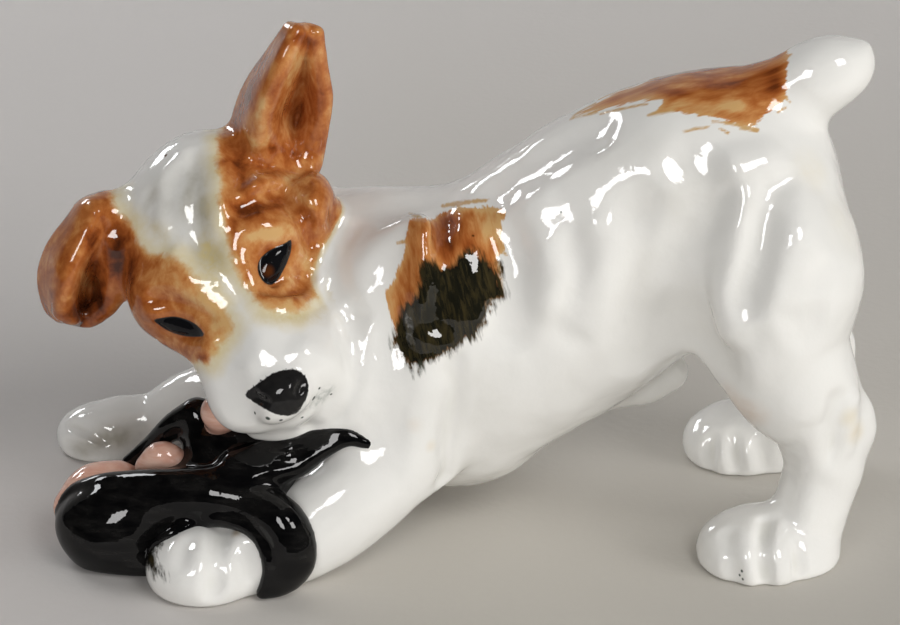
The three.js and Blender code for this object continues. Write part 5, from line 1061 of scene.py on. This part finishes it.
def enamel(name, dark, light, coat=1.52, weight=1.0):
    m = Nodes(name)
    v = m.nt.nodes.new("ShaderNodeMapping")
    m.put(v.inputs["Vector"], m.coord)
    v.inputs["Scale"].default_value = (180, 420, 900)
    brush = m.noise(v.outputs[0], 1.0, 4.0, 0.6, 0.4)
    patchy = m.noise(m.coord, 260.0, 2.0)
    c = m.mix(m.ramp(m.add(m.mul(brush, 0.75), m.mul(patchy, 0.35)), 0.42, 0.78), dark, light)
    bump = m.add(m.noise(m.coord, 520.0, 2.0), m.mul(brush, 0.15))
    m.glaze(c, bump, 0.35, 0.00012, coat=coat)
    m.bsdf.inputs["Coat Weight"].default_value = weight
    return m.mat


china_mat = china()
black_mat = enamel("black_enamel", (0.0025, 0.0025, 0.0028), (0.012, 0.0115, 0.011), 1.45, 0.7)
pink_mat = enamel("pink_enamel", (0.66, 0.355, 0.27), (0.78, 0.53, 0.43))
for name, ob in dog_objects.items():
    ob.data.materials.clear()
    ob.data.materials.append(china_mat)
    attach(ob, "root")
    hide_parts(name)
for name, ob in slipper_objects.items():
    upper = name == "slipper_upper"
    ob.data.materials.append(black_mat if upper else pink_mat)
    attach(ob, "root")
    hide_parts(name)


# ---- floor and backdrop in one sweep ----
def sweep():
    prof = [(-0.55, 0.0)] + [(0.34 + 0.22 * math.sin(a), 0.22 - 0.22 * math.cos(a)) for a in np.linspace(0, math.pi / 2, 14)] + [(0.56, 0.95)]
    me = bpy.data.meshes.new("sweep")
    xs = np.linspace(-1.1, 1.1, 12)
    verts = [(x, y, z) for x in xs for y, z in prof]
    n = len(prof)
    faces = [(i * n + j, (i + 1) * n + j, (i + 1) * n + j + 1, i * n + j + 1) for i in range(len(xs) - 1) for j in range(n - 1)]
    me.from_pydata(verts, [], faces)
    me.shade_smooth()
    ob = bpy.data.objects.new("sweep", me)
    bpy.context.scene.collection.objects.link(ob)
    m = Nodes("paper")
    cool = m.mix(m.noise(m.coord, 6.0, 2.0), (0.615, 0.590, 0.574), (0.635, 0.612, 0.598))
    warm = m.mix(m.noise(m.coord, 6.0, 2.0), (0.605, 0.575, 0.522), (0.625, 0.597, 0.545))
    sep = m.nt.nodes.new("ShaderNodeSeparateXYZ")
    m.put(sep.inputs[0], m.coord)
    c = m.mix(m.ramp(sep.outputs[0], -0.055, 0.0), cool, warm)
    c = m.mix(m.mul(m.noise(m.coord, 900.0, 2.0), 0.10), c, (0.50, 0.47, 0.42))
    depth = m.ramp(sep.outputs[1], -0.06, 0.34)  # painted light: the paper is lighter towards the back and duller where the figure stands
    c = m.mix(depth, c, (0.815, 0.790, 0.775))
    # painted shade: the floor right of the figure, under and in front of it, is painted darker
    side = m.mul(m.ramp(sep.outputs[0], 0.0, 0.10), m.ramp(sep.outputs[1], 0.08, -0.04))
    c = m.mix(m.mul(side, 0.5), c, (0.44, 0.425, 0.40))
    m.put(m.bsdf.inputs["Base Color"], c)
    m.bsdf.inputs["Roughness"].default_value = 0.75
    m.bsdf.inputs["Specular IOR Level"].default_value = 0.25
    b = m.nt.nodes.new("ShaderNodeBump")
    b.inputs["Strength"].default_value = 0.25
    b.inputs["Distance"].default_value = 0.0002
    m.put(b.inputs["Height"], m.noise(m.coord, 700.0, 3.0))
    m.nt.links.new(b.outputs[0], m.bsdf.inputs["Normal"])
    me.materials.append(m.mat)
    ob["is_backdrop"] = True
    return ob


sweep()

# ---- lights: azimuth is 0 in front, above 0 to the right of the picture ----
CENTRE = Vector(((0, 0, 0.036)))


def softbox(name, az, el, dist, width, height, power, colour=(1, 1, 1)):
    li = bpy.data.lights.new(name, "AREA")
    li.shape, li.size, li.size_y, li.energy, li.color = "RECTANGLE", width, height, power, colour
    a, e = math.radians(az), math.radians(el)
    ob = bpy.data.objects.new(name, li)
    ob.location = CENTRE + Vector((math.sin(a) * math.cos(e), -math.cos(a) * math.cos(e), math.sin(e))) * dist
    ob.rotation_euler = (CENTRE - ob.location).to_track_quat("-Z", "Y").to_euler()
    bpy.context.scene.collection.objects.link(ob)
    return ob


for name, az, el, dist, width, height, radiance, colour in (
    ("shine_right", 34, 47, 0.75, 0.22, 0.28, 15.0, (1.0, 0.99, 0.97)),
    ("shine_left", -24, 38, 0.75, 0.20, 0.22, 15.0, (1.0, 0.99, 0.98)),
    ("shine_back", -128, 38, 0.75, 0.18, 0.12, 15.0, (0.97, 0.985, 1.0)),
    ("shine_back_low", -144, 15, 0.60, 0.17, 0.09, 9.0, (0.97, 0.985, 1.0)),
):
    softbox(name, az, el, dist, width, height, radiance * math.pi * width * height, colour).visible_diffuse = False
for name, az, el, power, colour in (
    ("fill_right", 64, 14, 2.78, (1.0, 0.985, 0.96)),
    ("fill_top_right", 35, 45, 1.66, (1.0, 0.99, 0.97)),
    ("fill_front", 8, 14, 0.59, (1.0, 0.985, 0.96)),
    ("fill_left", -20, 14, 1.96, (1.0, 0.99, 0.98)),
    ("fill_back", -130, 40, 1.35, (0.97, 0.985, 1.0)),
    ("fill_far_right", 96, 16, 0.40, (1.0, 0.99, 0.98)),
):
    softbox(name, az, el, 0.78, 0.36, 0.34, power, colour).visible_glossy = False
world = bpy.data.worlds.new("world")
world.use_nodes = True
world.node_tree.nodes["Background"].inputs[0].default_value = (0.93, 0.96, 1.0, 1)
world.node_tree.nodes["Background"].inputs[1].default_value = 0.03
world.cycles_visibility.glossy = False
bpy.context.scene.world = world
bpy.context.scene.view_settings.view_transform = "Standard"
bpy.context.scene.view_settings.look = "None"
bpy.context.scene.view_settings.exposure = 0.0

# ---- camera ----
cam = bpy.data.cameras.new("camera")
cam.sensor_fit, cam.sensor_width = "HORIZONTAL", 36.0
cam.lens = 36.0 * FOCAL / 900.0
cam.clip_start, cam.clip_end = 0.01, 10
camera = bpy.data.objects.new("camera", cam)
m = Matrix.Identity(4)
for r in range(3):
    m[r][0], m[r][1], m[r][2], m[r][3] = RIGHT[r], UP[r], -LOOK[r], (EYE[r] + SHIFT[r]) * MM
camera.matrix_world = m
bpy.context.scene.collection.objects.link(camera)
bpy.context.scene.camera = camera

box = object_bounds()
print("cad", [[round(x * 1000, 2) for x in c] for c in CAD_BOX], "visual", [[round(x * 1000, 2) for x in c] for c in box], round(time.time() - T0, 1))
